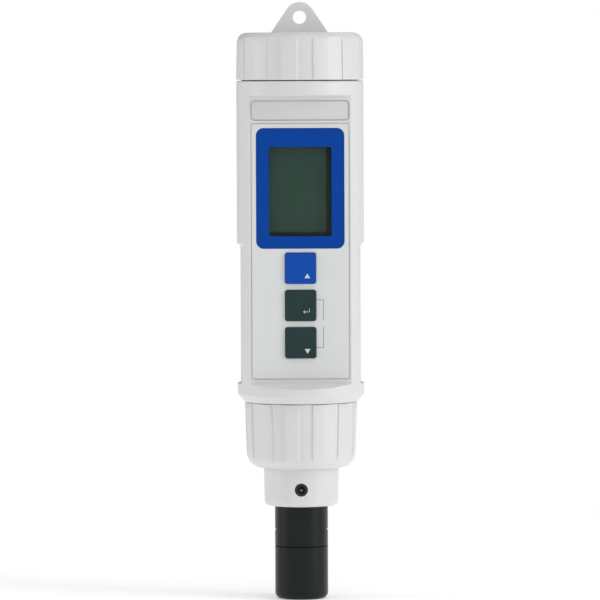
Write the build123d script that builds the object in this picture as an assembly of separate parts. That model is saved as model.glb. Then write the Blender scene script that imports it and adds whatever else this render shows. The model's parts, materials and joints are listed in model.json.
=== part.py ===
from build123d import *
import math
import os

# Dissolved oxygen pen, in millimetres. The pen stands along +Z on its probe tip, with the
# origin at the middle of the tip's lower face, and its display and keys face -Y. The sizes
# work outwards: the electrode sets the probe and the nut, and the cells set the housing.

# General clearances
FIT = 0.1
FACE_GAP = 0.05
THREAD_GAP = 0.3

# Seams between pieces that screw together
TIP_SEAM = 0.1
NUT_SEAM = 0.2
CAP_SEAM = 0.3

# Electrode, membrane and membrane cap
ELECTRODE_TIP_RADIUS = 3.0
ELECTRODE_TIP_CHAMFER = 0.4
ELECTRODE_STEP = 1.0
CATHODE_RADIUS = 1.0
CATHODE_LENGTH = 4.0
ANODE_THICKNESS = 0.8
CHAMBER_GAP = 1.35
CHAMBER_DROP = 3.8
MEMBRANE_SEAT = 1.8
MEMBRANE_THICKNESS = 0.1
MEMBRANE_RING_GAP = 0.6
MEMBRANE_RING_WIDTH = 2.1
MEMBRANE_RING_HEIGHT = 2.0
MEMBRANE_OPENING_GAP = 0.2
MEMBRANE_CAP_HEIGHT = 16.8
MEMBRANE_CAP_WALL = 1.25
MEMBRANE_CAP_ROUND = 2.0
TIP_NECK_WALL = 1.7
TIP_SEAL_RADIUS = 0.4
TIP_SEAL_ROOM = 1.1
TIP_WALL = 0.6

# Probe shaft
SHAFT_EXPOSED = 12.9
SHAFT_STEM_STEP = 0.55
SHAFT_NOTCH_HEIGHT = 0.6
SHAFT_NOTCH_DEPTH = 0.4
SHAFT_NOTCH_WIDTH = 5.0
SHAFT_NOTCH_RISE = 4.8

# Probe head: collar, plug and what they hold
COLLAR_EXPOSED = 12.1
COLLAR_STEP = 3.25
COLLAR_TAPER = 0.2
COLLAR_ROUND = 1.5
FLANGE_THICKNESS = 2.0
FLANGE_INSET = 0.4
PLUG_STEP = 0.4
PLUG_GAP = 0.3
PLUG_LENGTH = 8.1
PLUG_WALL = 1.9
SEAL_RADIUS = 0.55
SEAL_GROOVE_DEPTH = 0.9
SEAL_GROOVE_WIDTH = 1.5
SEAL_DROP = 3.4
HEAD_WEB = 0.9
HEAD_WEB_DROP = 3.8
HEAD_LEDGE = 0.8
HEAD_LEDGE_DROP = 0.4
WIRE_HOLE_RADIUS = 5.0
PIN_BLOCK_THICKNESS = 3.0
CONTACT_PIN_RADIUS = 0.4
CONTACT_PIN_GAP = 0.15
CONTACT_PIN_PITCH = 2.54
CONTACT_PIN_RISE = 8.0
CONTACT_PIN_TAIL = 2.0
HEAD_BOARD_THICKNESS = 1.0
SOCKET_WIDTH = 10.0
SOCKET_DEPTH = 6.4
SOCKET_DROP = 2.1
SOCKET_CLEAR = 1.5
SOCKET_ARM_LOW = 3.6
SOCKET_ARM_HIGH = 8.6
SOCKET_GAP = 0.15
SOCKET_ROOF = 3.0

# Temperature sensor in the collar
SENSOR_HEIGHT = 5.6
SENSOR_RADIUS = 2.05
SENSOR_BORE = 1.05
SENSOR_TIP_RADIUS = 0.95
SENSOR_TIP_SINK = 0.6

# Coupling nut and lower neck
NECK_WALL = 2.3
NUT_WALL = 2.7
NUT_TAPER = 0.7
NUT_ROUND = 4.8
NUT_MOUTH_GAP = 0.25
NUT_FLOOR = 7.9
KEYWAY_WIDTH = 3.0
KEYWAY_DEPTH = 1.2
KEYWAY_GAP = 0.3
KEYWAY_HEIGHT = 3.6

# Battery cells and their contacts
CELL_RADIUS = 5.25
CELL_LENGTH = 44.5
CELL_STUD_RADIUS = 1.9
CELL_STUD_LENGTH = 1.0
CELL_GAP = 0.1
CELL_SLACK = 0.2
PACK_SHIFT = 3.94
CONTACT_ROOM = 2.0
STRIP_THICKNESS = 0.3
STRIP_WIDTH = 5.0

# Main housing
HOUSING_WALL = 2.4
HOUSING_SHOULDER = 2.7
HOUSING_TOP_ROUND = 0.5
RING_INSET = 0.15
RING_FOOT_INSET = 0.1
RING_CHAMFER_HEIGHT = 2.4
RING_HEIGHT = 3.5
RELIEF_DEPTH = 1.1
RELIEF_WIDTH = 18.0
RELIEF_HEIGHT = 44.7
RELIEF_CORNER = 3.0
FLOOR_THICKNESS = 2.4
FLOOR_RISE = 0.6
CEILING_THICKNESS = 2.0

# Flat front and what lies in it
FLAT_MARGIN = 0.3
FLAT_HEAD = 4.7
SHELF_ANGLE = 10.0
BROW_ROUND = 0.8
FACEPLATE_SIDE = 0.6
FACEPLATE_CORNER = 0.8
FACEPLATE_THICKNESS = 0.5
FACEPLATE_SINK = 0.1
FACEPLATE_RISE = 1.5
PLATE_HEIGHT = 6.1
PLATE_CORNER = 1.2
PLATE_SINK = 0.3
PLATE_THICKNESS = 0.5
PLATE_GAP = 1.0
PLATE_HEAD = 1.6
BEZEL_SIDE = 1.55
BEZEL_CORNER = 2.4
BEZEL_HEAD = 1.5
VIEW_SIDE = 4.05
VIEW_HEIGHT = 28.2
VIEW_HEAD = 6.0
VIEW_FOOT = 3.9
VIEW_CORNER = 0.8
WINDOW_THICKNESS = 0.8
WINDOW_MARGIN = 2.0
WINDOW_LEDGE = 0.9
LEDGE_THICKNESS = 0.7

# Keys
KEY_SIZE = 9.8
KEY_CORNER = 0.9
KEY_PROUD = 0.8
KEY_EDGE_ROUND = 0.3
KEY_SPACE = 2.0
KEY_FOOT = 6.6
KEY_HEAD = 1.3
KEY_FLANGE = 0.6
KEY_FLANGE_THICKNESS = 0.65
KEY_TRAVEL = 0.6
KEY_STEM_RADIUS = 1.8
KEY_WALL_STEP = 0.7
DOME_RADIUS = 2.5
DOME_HEIGHT = 0.3

# Display, board and what the board carries
LCD_SIDE = 1.9
LCD_HEAD = 2.7
LCD_THICKNESS = 2.0
LCD_GAP = 0.2
PIN_COUNT = 12
PIN_WIDTH = 0.5
PIN_DEPTH = 0.4
PIN_PITCH = 1.7
BOARD_SIDE = 1.7
BOARD_THICKNESS = 1.0
BOARD_PACK_GAP = 0.29
BOARD_FOOT = 3.5
BOARD_HEAD = 5.0
CHIP_SIZE = 10.0
CHIP_THICKNESS = 1.2
CHIP_RISE = 20.0
CRYSTAL_LENGTH = 8.0
CRYSTAL_RADIUS = 1.5
CAPACITOR_RADIUS = 2.0
CAPACITOR_LENGTH = 4.5
CAPACITOR_SPACE = 2.0
SCREW_RADIUS = 0.7
SCREW_LENGTH = 3.3
SCREW_HEAD_RADIUS = 1.4
SCREW_HEAD_HEIGHT = 0.8
SCREW_INSET = 2.2

# Chassis behind the board
CHASSIS_PLATE = 2.0
CHASSIS_RADIUS_GAP = 0.3
RAIL_HALF_WIDTH = 3.2
RAIL_DEPTH = 1.8
CHASSIS_SIDE = 1.8
CHASSIS_DEPTH = 6.8
BOSS_RADIUS = 1.9
FOOT_SCREW_Y = 5.0
FOOT_SCREW_RADIUS = 1.1
FOOT_SCREW_LENGTH = 6.0
FOOT_HEAD_RADIUS = 1.9
FOOT_HEAD_HEIGHT = 1.5
FOOT_HEAD_GAP = 0.4
FOOT_BOSS_HEIGHT = 5.0

# Upper neck and battery cap
CAP_NECK_WALL = 1.4
CAP_NECK_HEIGHT = 8.5
CAP_OVERHANG = 0.1
CAP_TAPER = 0.3
CAP_ROUND = 3.2
CAP_FOOT_CHAMFER = 0.4
CAP_BORE_GAP = 0.8
CAP_TOP_WALL = 2.0
CAP_RING_HEIGHT = 1.7
CAP_SEAL_RADIUS = 0.7
SNAP_RISE = 1.5
SNAP_THICKNESS = 0.6
SNAP_DEPTH = 0.5
SNAP_WIDTH = 2.1
SNAP_OPENING = 30.0
CARRIER_THICKNESS = 2.0
CARRIER_ROOM = 0.65
KEY_LEG_WIDTH = 4.0
KEY_LEG_DEPTH = 1.3
KEY_LEG_RISE = 1.0
KEY_LEG_SINK = 0.3
EYE_RISE = 4.9
EYE_RADIUS = 4.8
EYE_BORE = 2.1
EYE_THICKNESS = 3.0
EYE_LEAN = 34.0

# Flutes of the battery cap and the coupling nut
FLUTE_COUNT = 12
FLUTE_DEPTH = 0.45
FLUTE_SHARE = 0.5
FLUTE_PHASE = -85.0

# Radii of the probe, outwards from the electrode
ANODE_BORE = ELECTRODE_TIP_RADIUS + FACE_GAP
CELL_CHAMBER_RADIUS = ANODE_BORE + ANODE_THICKNESS + CHAMBER_GAP
ELECTRODE_RADIUS = ELECTRODE_TIP_RADIUS + ELECTRODE_STEP
MEMBRANE_OPENING = ELECTRODE_TIP_RADIUS + MEMBRANE_OPENING_GAP
MEMBRANE_RADIUS = ELECTRODE_TIP_RADIUS + MEMBRANE_RING_GAP + MEMBRANE_RING_WIDTH
TIP_NECK_RADIUS = CELL_CHAMBER_RADIUS + TIP_NECK_WALL
SHAFT_RADIUS = TIP_NECK_RADIUS + THREAD_GAP + MEMBRANE_CAP_WALL
SHAFT_STEM_RADIUS = SHAFT_RADIUS - SHAFT_STEM_STEP
COLLAR_RADIUS_FOOT = SHAFT_RADIUS + COLLAR_STEP
COLLAR_RADIUS_HEAD = COLLAR_RADIUS_FOOT + COLLAR_TAPER
PLUG_RADIUS = COLLAR_RADIUS_HEAD + PLUG_STEP
NECK_BORE = PLUG_RADIUS + PLUG_GAP
NECK_RADIUS = NECK_BORE + NECK_WALL
FLANGE_RADIUS = NECK_RADIUS - FLANGE_INSET
NUT_BORE = NECK_RADIUS + THREAD_GAP
NUT_RADIUS_HEAD = NUT_BORE + NUT_WALL
NUT_RADIUS_FOOT = NUT_RADIUS_HEAD - NUT_TAPER
RING_FOOT_RADIUS = NUT_RADIUS_HEAD + RING_FOOT_INSET

# Radii of the housing and the battery cap, outwards from the four cells two by two
CELL_OFFSET = CELL_RADIUS + CELL_GAP / 2
CAP_NECK_BORE = CELL_RADIUS + CELL_SLACK + math.hypot(CELL_OFFSET, PACK_SHIFT + CELL_OFFSET)
CAP_NECK_RADIUS = CAP_NECK_BORE + CAP_NECK_WALL
HOUSING_RADIUS = CAP_NECK_RADIUS + HOUSING_SHOULDER
HOUSING_BORE = HOUSING_RADIUS - HOUSING_WALL
RING_RADIUS = HOUSING_RADIUS - RING_INSET
CAP_RADIUS_FOOT = HOUSING_RADIUS + CAP_OVERHANG
CAP_RADIUS_HEAD = CAP_RADIUS_FOOT - CAP_TAPER
CAP_BORE = CAP_NECK_RADIUS + CAP_BORE_GAP

# Layers of the front, from the cells outwards
BOARD_BACK = PACK_SHIFT - CELL_OFFSET - CELL_RADIUS - BOARD_PACK_GAP
BOARD_FRONT = BOARD_BACK - BOARD_THICKNESS
DOME_FRONT = BOARD_FRONT - DOME_HEIGHT
LCD_FRONT = BOARD_FRONT - LCD_THICKNESS
FRONT_INNER = LCD_FRONT - LCD_GAP
KEY_INNER = FRONT_INNER + KEY_WALL_STEP
WINDOW_BACK = FRONT_INNER - LEDGE_THICKNESS
SEAT_Y = WINDOW_BACK - WINDOW_THICKNESS
FACEPLATE_FRONT = SEAT_Y - FACEPLATE_THICKNESS
FLAT_Y = FACEPLATE_FRONT - FACEPLATE_SINK
CHASSIS_FRONT = BOARD_BACK + FIT

# Widths and heights on the front, from the flat inwards
FLAT_HALF = math.sqrt(HOUSING_RADIUS ** 2 - FLAT_Y ** 2)
FACEPLATE_WIDTH = 2 * (FLAT_HALF - FACEPLATE_SIDE)
BEZEL_WIDTH = FACEPLATE_WIDTH - 2 * BEZEL_SIDE
VIEW_WIDTH = BEZEL_WIDTH - 2 * VIEW_SIDE
LCD_WIDTH = VIEW_WIDTH + 2 * LCD_SIDE
BOARD_WIDTH = LCD_WIDTH + 2 * BOARD_SIDE
BEZEL_HEIGHT = VIEW_FOOT + VIEW_HEIGHT + VIEW_HEAD
LCD_HEIGHT = VIEW_HEIGHT + 2 * LCD_HEAD
KEY_PITCH = KEY_SIZE + KEY_SPACE
KEY_BLOCK = KEY_FOOT + 3 * KEY_SIZE + 2 * KEY_SPACE + KEY_HEAD
FACEPLATE_HEIGHT = KEY_BLOCK + BEZEL_HEIGHT + BEZEL_HEAD

# Levels of the probe, from the tip up
MEMBRANE_TOP = MEMBRANE_SEAT + MEMBRANE_THICKNESS
TIP_NECK_BOTTOM = MEMBRANE_TOP + MEMBRANE_RING_HEIGHT + THREAD_GAP
CELL_CHAMBER_TOP = MEMBRANE_CAP_HEIGHT - CHAMBER_DROP
SHAFT_BOTTOM = MEMBRANE_CAP_HEIGHT + TIP_SEAM
COLLAR_BOTTOM = SHAFT_BOTTOM + SHAFT_EXPOSED
NUT_BOTTOM = COLLAR_BOTTOM + COLLAR_EXPOSED
FLANGE_BOTTOM = NUT_BOTTOM + NUT_FLOOR + FIT
FLANGE_TOP = FLANGE_BOTTOM + FLANGE_THICKNESS
NECK_BOTTOM = FLANGE_TOP + FIT
PLUG_TOP = FLANGE_TOP + PLUG_LENGTH
SOCKET_BOTTOM = PLUG_TOP + SOCKET_CLEAR

# Levels of the housing and the battery cap
FLOOR_BOTTOM = SOCKET_BOTTOM + SOCKET_DROP
FLOOR_TOP = FLOOR_BOTTOM + FLOOR_THICKNESS
HOUSING_BOTTOM = FLOOR_BOTTOM - FLOOR_RISE
NUT_TOP = HOUSING_BOTTOM - NUT_SEAM
RING_FOOT = HOUSING_BOTTOM + RING_CHAMFER_HEIGHT
RING_TOP = RING_FOOT + RING_HEIGHT
FLAT_BOTTOM = RING_TOP + FLAT_MARGIN
FACEPLATE_BOTTOM = FLAT_BOTTOM + FACEPLATE_RISE
FACEPLATE_TOP = FACEPLATE_BOTTOM + FACEPLATE_HEIGHT
PLATE_BOTTOM = FACEPLATE_TOP + PLATE_GAP
FLAT_TOP = PLATE_BOTTOM + PLATE_HEIGHT + PLATE_HEAD
HOUSING_TOP = FLAT_TOP + FLAT_HEAD
CEILING = HOUSING_TOP - CEILING_THICKNESS
CAP_BOTTOM = HOUSING_TOP + CAP_SEAM
CAP_NECK_TOP = HOUSING_TOP + CAP_NECK_HEIGHT
SNAP_LOW = CAP_NECK_TOP + SNAP_RISE
CARRIER_BOTTOM = SNAP_LOW + SNAP_THICKNESS + FACE_GAP
CAP_TOP = CARRIER_BOTTOM + CARRIER_THICKNESS + CARRIER_ROOM + CAP_TOP_WALL
EYE_CENTRE = CAP_TOP + EYE_RISE

# Places on the front
BEZEL_TOP = FACEPLATE_TOP - BEZEL_HEAD
BEZEL_BOTTOM = BEZEL_TOP - BEZEL_HEIGHT
BEZEL_CENTRE = (BEZEL_TOP + BEZEL_BOTTOM) / 2
VIEW_BOTTOM = BEZEL_BOTTOM + VIEW_FOOT
VIEW_CENTRE = VIEW_BOTTOM + VIEW_HEIGHT / 2
LCD_BOTTOM = VIEW_CENTRE - LCD_HEIGHT / 2
KEY_CENTRES = [FACEPLATE_BOTTOM + KEY_FOOT + KEY_SIZE / 2 + KEY_PITCH * row for row in (2, 1, 0)]
BOARD_BOTTOM = FLOOR_TOP + BOARD_FOOT
BOARD_TOP = CEILING - BOARD_HEAD

# Places of the cells and the chassis
CELL_TOP = CARRIER_BOTTOM - STRIP_THICKNESS - FACE_GAP
CELL_BOTTOM = CELL_TOP - CELL_LENGTH
CELL_PLACES = [(sx * CELL_OFFSET, PACK_SHIFT + sy * CELL_OFFSET) for sx in (-1, 1) for sy in (-1, 1)]
CHASSIS_TOP = CELL_BOTTOM - CONTACT_ROOM
CHASSIS_BOTTOM = FLOOR_TOP + FACE_GAP
CHASSIS_HALF = BOARD_WIDTH / 2 - CHASSIS_SIDE / 2
FOOT_SCREW_CIRCLE = NECK_BORE - FOOT_HEAD_RADIUS - FOOT_HEAD_GAP
FOOT_SCREW_X = math.sqrt(FOOT_SCREW_CIRCLE ** 2 - FOOT_SCREW_Y ** 2)

MARGIN = 2.0
FRONT_PLANE = Plane(origin=(0, 0, 0), x_dir=(1, 0, 0), z_dir=(0, -1, 0))


def disc(radius, low, high, x=0, y=0):
    """An upright cylinder between two heights."""
    return Pos(x, y, low) * Cylinder(radius, high - low, align=(Align.CENTER, Align.CENTER, Align.MIN))


def tube(outer, inner, low, high):
    """An upright tube about the pen's axis."""
    return disc(outer, low, high) - disc(inner, low - MARGIN, high + MARGIN)


def block(x, y, z):
    """A block between the two ends given for each axis."""
    corner = Box(x[1] - x[0], y[1] - y[0], z[1] - z[0], align=(Align.MIN, Align.MIN, Align.MIN))
    return Pos(x[0], y[0], z[0]) * corner


def turned(points, arc=360):
    """A solid turned about the pen's axis from an outline of (radius, height) points."""
    face = Plane.XZ * make_face(Polyline(*points, close=True))
    return revolve(face, Axis.Z, revolution_arc=arc)


def front_plate(width, height, corner, front, back, centre_z, x=0):
    """A plate that faces the front, with round corners."""
    plane = Plane(origin=(x, back, centre_z), x_dir=(1, 0, 0), z_dir=(0, -1, 0))
    return extrude(plane * RectangleRounded(width, height, corner), amount=back - front)


def front_rod(radius, front, back, x, z):
    """A round rod that runs from front to back."""
    plane = Plane(origin=(x, back, z), x_dir=(1, 0, 0), z_dir=(0, -1, 0))
    return extrude(plane * Circle(radius), amount=back - front)


def ring_edges(solid, radius, height):
    """The round edges of one radius at one height."""
    edges = solid.edges().filter_by(GeomType.CIRCLE)
    near = edges.filter_by_position(Axis.Z, height - FACE_GAP, height + FACE_GAP)
    return near.filter_by(lambda edge: abs(edge.radius - radius) < FIT)


def torus_ring(centre_radius, section_radius, height):
    """A round rubber ring that lies level."""
    return Pos(0, 0, height) * Torus(centre_radius, section_radius)


def flute_cutters(foot_radius, head_radius, bottom, top):
    """Twelve shallow tools that cut the grip recesses into a tapered wall."""
    slope = (head_radius - foot_radius) / (top - bottom)
    low = bottom - MARGIN
    high = top + MARGIN
    low_radius = foot_radius - MARGIN * slope - FLUTE_DEPTH
    high_radius = head_radius + MARGIN * slope - FLUTE_DEPTH
    outline = [(low_radius, low), (low_radius + MARGIN, low), (high_radius + MARGIN, high), (high_radius, high)]
    pitch = 360 / FLUTE_COUNT
    arc = pitch * FLUTE_SHARE
    cutter = turned(outline, arc)
    return [Rot(0, 0, FLUTE_PHASE - arc / 2 + pitch * place) * cutter for place in range(FLUTE_COUNT)]


def board_screw_places():
    """Where the small screws hold the board, as (x, z)."""
    side = CHASSIS_HALF - FIT
    low = BOARD_BOTTOM + SCREW_INSET
    middle = LCD_BOTTOM - SCREW_INSET - SCREW_HEAD_RADIUS
    high = LCD_BOTTOM + LCD_HEIGHT + SCREW_INSET + SCREW_HEAD_RADIUS
    return [(-side, low), (side, low), (-side, middle), (side, middle), (0, high)]


def foot_screw_places():
    """Where the chassis screws come up through the housing's floor."""
    return [(-FOOT_SCREW_X, FOOT_SCREW_Y), (FOOT_SCREW_X, FOOT_SCREW_Y)]


def contact_pin_places():
    """Where the six contact pins of the probe head stand."""
    columns = (-CONTACT_PIN_PITCH, 0, CONTACT_PIN_PITCH)
    rows = (-CONTACT_PIN_PITCH / 2, CONTACT_PIN_PITCH / 2)
    return [(x, y) for x in columns for y in rows]


def relief_cutters():
    """The shallow side reliefs, with a sloping upper end."""
    floor_radius = HOUSING_RADIUS - RELIEF_DEPTH
    outer = HOUSING_RADIUS + MARGIN
    top = RING_TOP + RELIEF_HEIGHT
    outline = [
        (floor_radius, RING_TOP),
        (outer, RING_TOP),
        (outer, top + MARGIN),
        (floor_radius, top - RELIEF_DEPTH),
    ]
    band = turned(outline)
    centre = (RING_TOP + top + MARGIN) / 2
    plane = Plane(origin=(0, 0, centre), x_dir=(0, 1, 0), z_dir=(1, 0, 0))
    gate = plane * RectangleRounded(RELIEF_WIDTH, top + MARGIN - RING_TOP, RELIEF_CORNER)
    return band & extrude(gate, amount=outer, both=True)


def flat_cutter():
    """The deep flat on the front, with its sloping shelf at the foot."""
    reach = HOUSING_RADIUS + MARGIN
    drop = (reach + FLAT_Y) * math.tan(math.radians(SHELF_ANGLE))
    outline = [(FLAT_Y, FLAT_BOTTOM), (-reach, FLAT_BOTTOM - drop), (-reach, FLAT_TOP), (FLAT_Y, FLAT_TOP)]
    face = Plane.YZ * make_face(Polyline(*outline, close=True))
    return extrude(face, amount=reach, both=True)


def main_housing():
    outline = [
        (NECK_BORE, NECK_BOTTOM),
        (NECK_RADIUS, NECK_BOTTOM),
        (NECK_RADIUS, HOUSING_BOTTOM),
        (RING_FOOT_RADIUS, HOUSING_BOTTOM),
        (RING_RADIUS, RING_FOOT),
        (HOUSING_RADIUS, RING_TOP),
        (HOUSING_RADIUS, HOUSING_TOP),
        (CAP_NECK_RADIUS, HOUSING_TOP),
        (CAP_NECK_RADIUS, CAP_NECK_TOP),
        (CAP_NECK_BORE, CAP_NECK_TOP),
        (CAP_NECK_BORE, CEILING),
        (HOUSING_BORE, CEILING),
        (HOUSING_BORE, FLOOR_TOP),
        (0, FLOOR_TOP),
        (0, FLOOR_BOTTOM),
        (NECK_BORE, FLOOR_BOTTOM),
    ]
    shell = turned(outline)
    fill = disc(HOUSING_BORE + HOUSING_WALL / 2, FLOOR_TOP - FIT, CEILING + FIT)
    side = (-HOUSING_RADIUS, HOUSING_RADIUS)
    wall = block(side, (-HOUSING_RADIUS, FRONT_INNER), (FLOOR_TOP - FIT, CEILING + FIT))
    key_wall = block(side, (-HOUSING_RADIUS, KEY_INNER), (FLOOR_TOP - FIT, LCD_BOTTOM - THREAD_GAP))
    shell += fill & (wall + key_wall)
    shell -= flat_cutter()
    shell -= relief_cutters()
    shell = fillet(ring_edges(shell, HOUSING_RADIUS, HOUSING_TOP), HOUSING_TOP_ROUND)
    shell = fillet(ring_edges(shell, HOUSING_RADIUS, FLAT_TOP), BROW_ROUND)
    shell -= front_seats()
    shell -= floor_openings()
    return shell - neck_grooves()


def front_seats():
    """What is cut into the flat front for the plates, the window and the keys."""
    out = FLAT_Y - MARGIN
    face_centre = (FACEPLATE_BOTTOM + FACEPLATE_TOP) / 2
    face_width = FACEPLATE_WIDTH + 2 * FIT
    seats = [front_plate(face_width, FACEPLATE_HEIGHT + 2 * FIT, FACEPLATE_CORNER, out, SEAT_Y, face_centre)]
    plate_back = FLAT_Y + PLATE_SINK + PLATE_THICKNESS
    plate_centre = PLATE_BOTTOM + PLATE_HEIGHT / 2
    seats.append(front_plate(face_width, PLATE_HEIGHT + 2 * FIT, PLATE_CORNER, out, plate_back, plate_centre))
    wide = VIEW_WIDTH + 2 * WINDOW_MARGIN + 2 * FIT
    tall = VIEW_HEIGHT + 2 * WINDOW_MARGIN + 2 * FIT
    seats.append(front_plate(wide, tall, VIEW_CORNER, SEAT_Y - FIT, WINDOW_BACK, VIEW_CENTRE))
    wide = VIEW_WIDTH + 2 * WINDOW_LEDGE
    tall = VIEW_HEIGHT + 2 * WINDOW_LEDGE
    seats.append(front_plate(wide, tall, VIEW_CORNER, SEAT_Y - FIT, FRONT_INNER + FIT, VIEW_CENTRE))
    flange = KEY_SIZE + 2 * KEY_FLANGE + 2 * THREAD_GAP
    key_floor = SEAT_Y + KEY_FLANGE_THICKNESS + KEY_TRAVEL + FACE_GAP
    span = KEY_CENTRES[0] - KEY_CENTRES[-1]
    middle = (KEY_CENTRES[0] + KEY_CENTRES[-1]) / 2
    seats.append(front_plate(flange, span + flange, KEY_CORNER, SEAT_Y - FIT, key_floor, middle))
    for height in KEY_CENTRES:
        seats.append(front_rod(KEY_STEM_RADIUS + THREAD_GAP, SEAT_Y, KEY_INNER + FIT, 0, height))
    return seats


def floor_openings():
    """The socket's opening and the chassis screws' holes in the housing's floor."""
    half_x = SOCKET_WIDTH / 2 + SOCKET_GAP
    half_y = SOCKET_DEPTH / 2 + SOCKET_GAP
    level = (FLOOR_BOTTOM - FIT, FLOOR_TOP + FIT)
    openings = [block((-half_x, half_x), (-half_y, half_y), level)]
    for x, y in foot_screw_places():
        openings.append(disc(FOOT_SCREW_RADIUS + FIT, level[0], level[1], x, y))
    return openings


def neck_grooves():
    """The grooves that keep the contact carrier and the probe head from turning."""
    half = KEY_LEG_WIDTH / 2 + CELL_SLACK
    depth = CAP_NECK_BORE + KEY_LEG_SINK + CELL_SLACK
    band = tube(depth, CAP_NECK_BORE - FIT, HOUSING_TOP, CAP_NECK_TOP + FIT)
    gate = block((-HOUSING_RADIUS, HOUSING_RADIUS), (-half, half), (HOUSING_TOP, CAP_NECK_TOP + FIT))
    half = KEYWAY_WIDTH / 2
    low = NECK_BOTTOM - FIT
    high = NECK_BOTTOM + KEYWAY_HEIGHT + KEYWAY_GAP
    lower_band = tube(NECK_BORE + KEYWAY_DEPTH, NECK_BORE - FIT, low, high)
    lower_gate = block((-half, half), (0, HOUSING_RADIUS), (low, high))
    return [band & gate, lower_band & lower_gate]


def faceplate():
    centre = (FACEPLATE_BOTTOM + FACEPLATE_TOP) / 2
    sheet = front_plate(FACEPLATE_WIDTH, FACEPLATE_HEIGHT, FACEPLATE_CORNER, FACEPLATE_FRONT, SEAT_Y, centre)
    wide = BEZEL_WIDTH + 2 * FACE_GAP
    tall = BEZEL_HEIGHT + 2 * FACE_GAP
    sheet -= front_plate(wide, tall, BEZEL_CORNER, FLAT_Y - MARGIN, SEAT_Y + FIT, BEZEL_CENTRE)
    hole = KEY_SIZE + 2 * FIT
    for height in KEY_CENTRES:
        sheet -= front_plate(hole, hole, KEY_CORNER, FLAT_Y - MARGIN, SEAT_Y + FIT, height)
    return sheet


def display_bezel():
    frame = front_plate(BEZEL_WIDTH, BEZEL_HEIGHT, BEZEL_CORNER, FACEPLATE_FRONT, SEAT_Y, BEZEL_CENTRE)
    out = FLAT_Y - MARGIN
    return frame - front_plate(VIEW_WIDTH, VIEW_HEIGHT, VIEW_CORNER, out, SEAT_Y + FIT, VIEW_CENTRE)


def display_window():
    wide = VIEW_WIDTH + 2 * WINDOW_MARGIN
    tall = VIEW_HEIGHT + 2 * WINDOW_MARGIN
    return front_plate(wide, tall, VIEW_CORNER, SEAT_Y, WINDOW_BACK, VIEW_CENTRE)


def blank_plate():
    front = FLAT_Y + PLATE_SINK
    centre = PLATE_BOTTOM + PLATE_HEIGHT / 2
    return front_plate(FACEPLATE_WIDTH, PLATE_HEIGHT, PLATE_CORNER, front, front + PLATE_THICKNESS, centre)


def key(height):
    """One key: a raised square head, a hidden flange and a stem towards the board."""
    head = front_plate(KEY_SIZE, KEY_SIZE, KEY_CORNER, FACEPLATE_FRONT - KEY_PROUD, SEAT_Y + FIT, height)
    head = fillet(head.faces().sort_by(Axis.Y)[0].edges(), KEY_EDGE_ROUND)
    flange = KEY_SIZE + 2 * KEY_FLANGE
    front = SEAT_Y + FACE_GAP
    back = front + KEY_FLANGE_THICKNESS - FACE_GAP
    head += front_plate(flange, flange, KEY_CORNER, front, back, height)
    tip = DOME_FRONT - KEY_TRAVEL - FIT
    return head + front_rod(KEY_STEM_RADIUS, back - FIT, tip, 0, height)


def key_domes():
    domes = [front_rod(DOME_RADIUS, DOME_FRONT, BOARD_FRONT, 0, height) for height in KEY_CENTRES]
    return [chamfer(dome.faces().sort_by(Axis.Y)[0].edges(), DOME_HEIGHT / 2) for dome in domes]


def lcd_panel():
    centre = LCD_BOTTOM + LCD_HEIGHT / 2
    glass = LCD_THICKNESS / 2
    back = front_plate(LCD_WIDTH, LCD_HEIGHT, FIT, LCD_FRONT + glass, BOARD_FRONT, centre)
    front = front_plate(LCD_WIDTH, LCD_HEIGHT - 2 * glass, FIT, LCD_FRONT, LCD_FRONT + glass, centre)
    return back + front


def lcd_pins():
    pins = []
    first = -PIN_PITCH * (PIN_COUNT - 1) / 2
    levels = [
        (LCD_BOTTOM - PIN_DEPTH - FACE_GAP, LCD_BOTTOM - FACE_GAP),
        (LCD_BOTTOM + LCD_HEIGHT + FACE_GAP, LCD_BOTTOM + LCD_HEIGHT + FACE_GAP + PIN_DEPTH),
    ]
    for level in levels:
        for column in range(PIN_COUNT):
            x = first + PIN_PITCH * column
            span = (x - PIN_WIDTH / 2, x + PIN_WIDTH / 2)
            pins.append(block(span, (LCD_FRONT + LCD_THICKNESS / 2, BOARD_FRONT), level))
    return pins


def main_board():
    half = BOARD_WIDTH / 2
    board = block((-half, half), (BOARD_FRONT, BOARD_BACK), (BOARD_BOTTOM, BOARD_TOP))
    for x, z in board_screw_places():
        board -= front_rod(SCREW_RADIUS + FIT, BOARD_FRONT - FIT, BOARD_BACK + FIT, x, z)
    return board


def microcontroller():
    centre = BOARD_BOTTOM + CHIP_RISE
    return front_plate(CHIP_SIZE, CHIP_SIZE, FIT, BOARD_BACK, BOARD_BACK + CHIP_THICKNESS, centre)


def board_components():
    """A crystal and two round capacitors on the board's back."""
    level = BOARD_BOTTOM + CHIP_RISE + CHIP_SIZE + CRYSTAL_RADIUS
    can = Pos(-CRYSTAL_LENGTH / 2, BOARD_BACK + CRYSTAL_RADIUS, level) * Rot(0, 90, 0) * Cylinder(
        CRYSTAL_RADIUS, CRYSTAL_LENGTH, align=(Align.CENTER, Align.CENTER, Align.MIN))
    high = level + CRYSTAL_RADIUS + 2 * CAPACITOR_RADIUS
    side = CAPACITOR_RADIUS + CAPACITOR_SPACE / 2
    pair = [front_rod(CAPACITOR_RADIUS, BOARD_BACK, BOARD_BACK + CAPACITOR_LENGTH, x, high) for x in (-side, side)]
    return [can] + pair


def board_screws():
    head_front = BOARD_FRONT - SCREW_HEAD_HEIGHT
    screws = []
    for x, z in board_screw_places():
        shank = front_rod(SCREW_RADIUS, BOARD_FRONT - FIT, BOARD_FRONT + SCREW_LENGTH, x, z)
        screws.append(shank + front_rod(SCREW_HEAD_RADIUS, head_front, BOARD_FRONT, x, z))
    return screws


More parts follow.
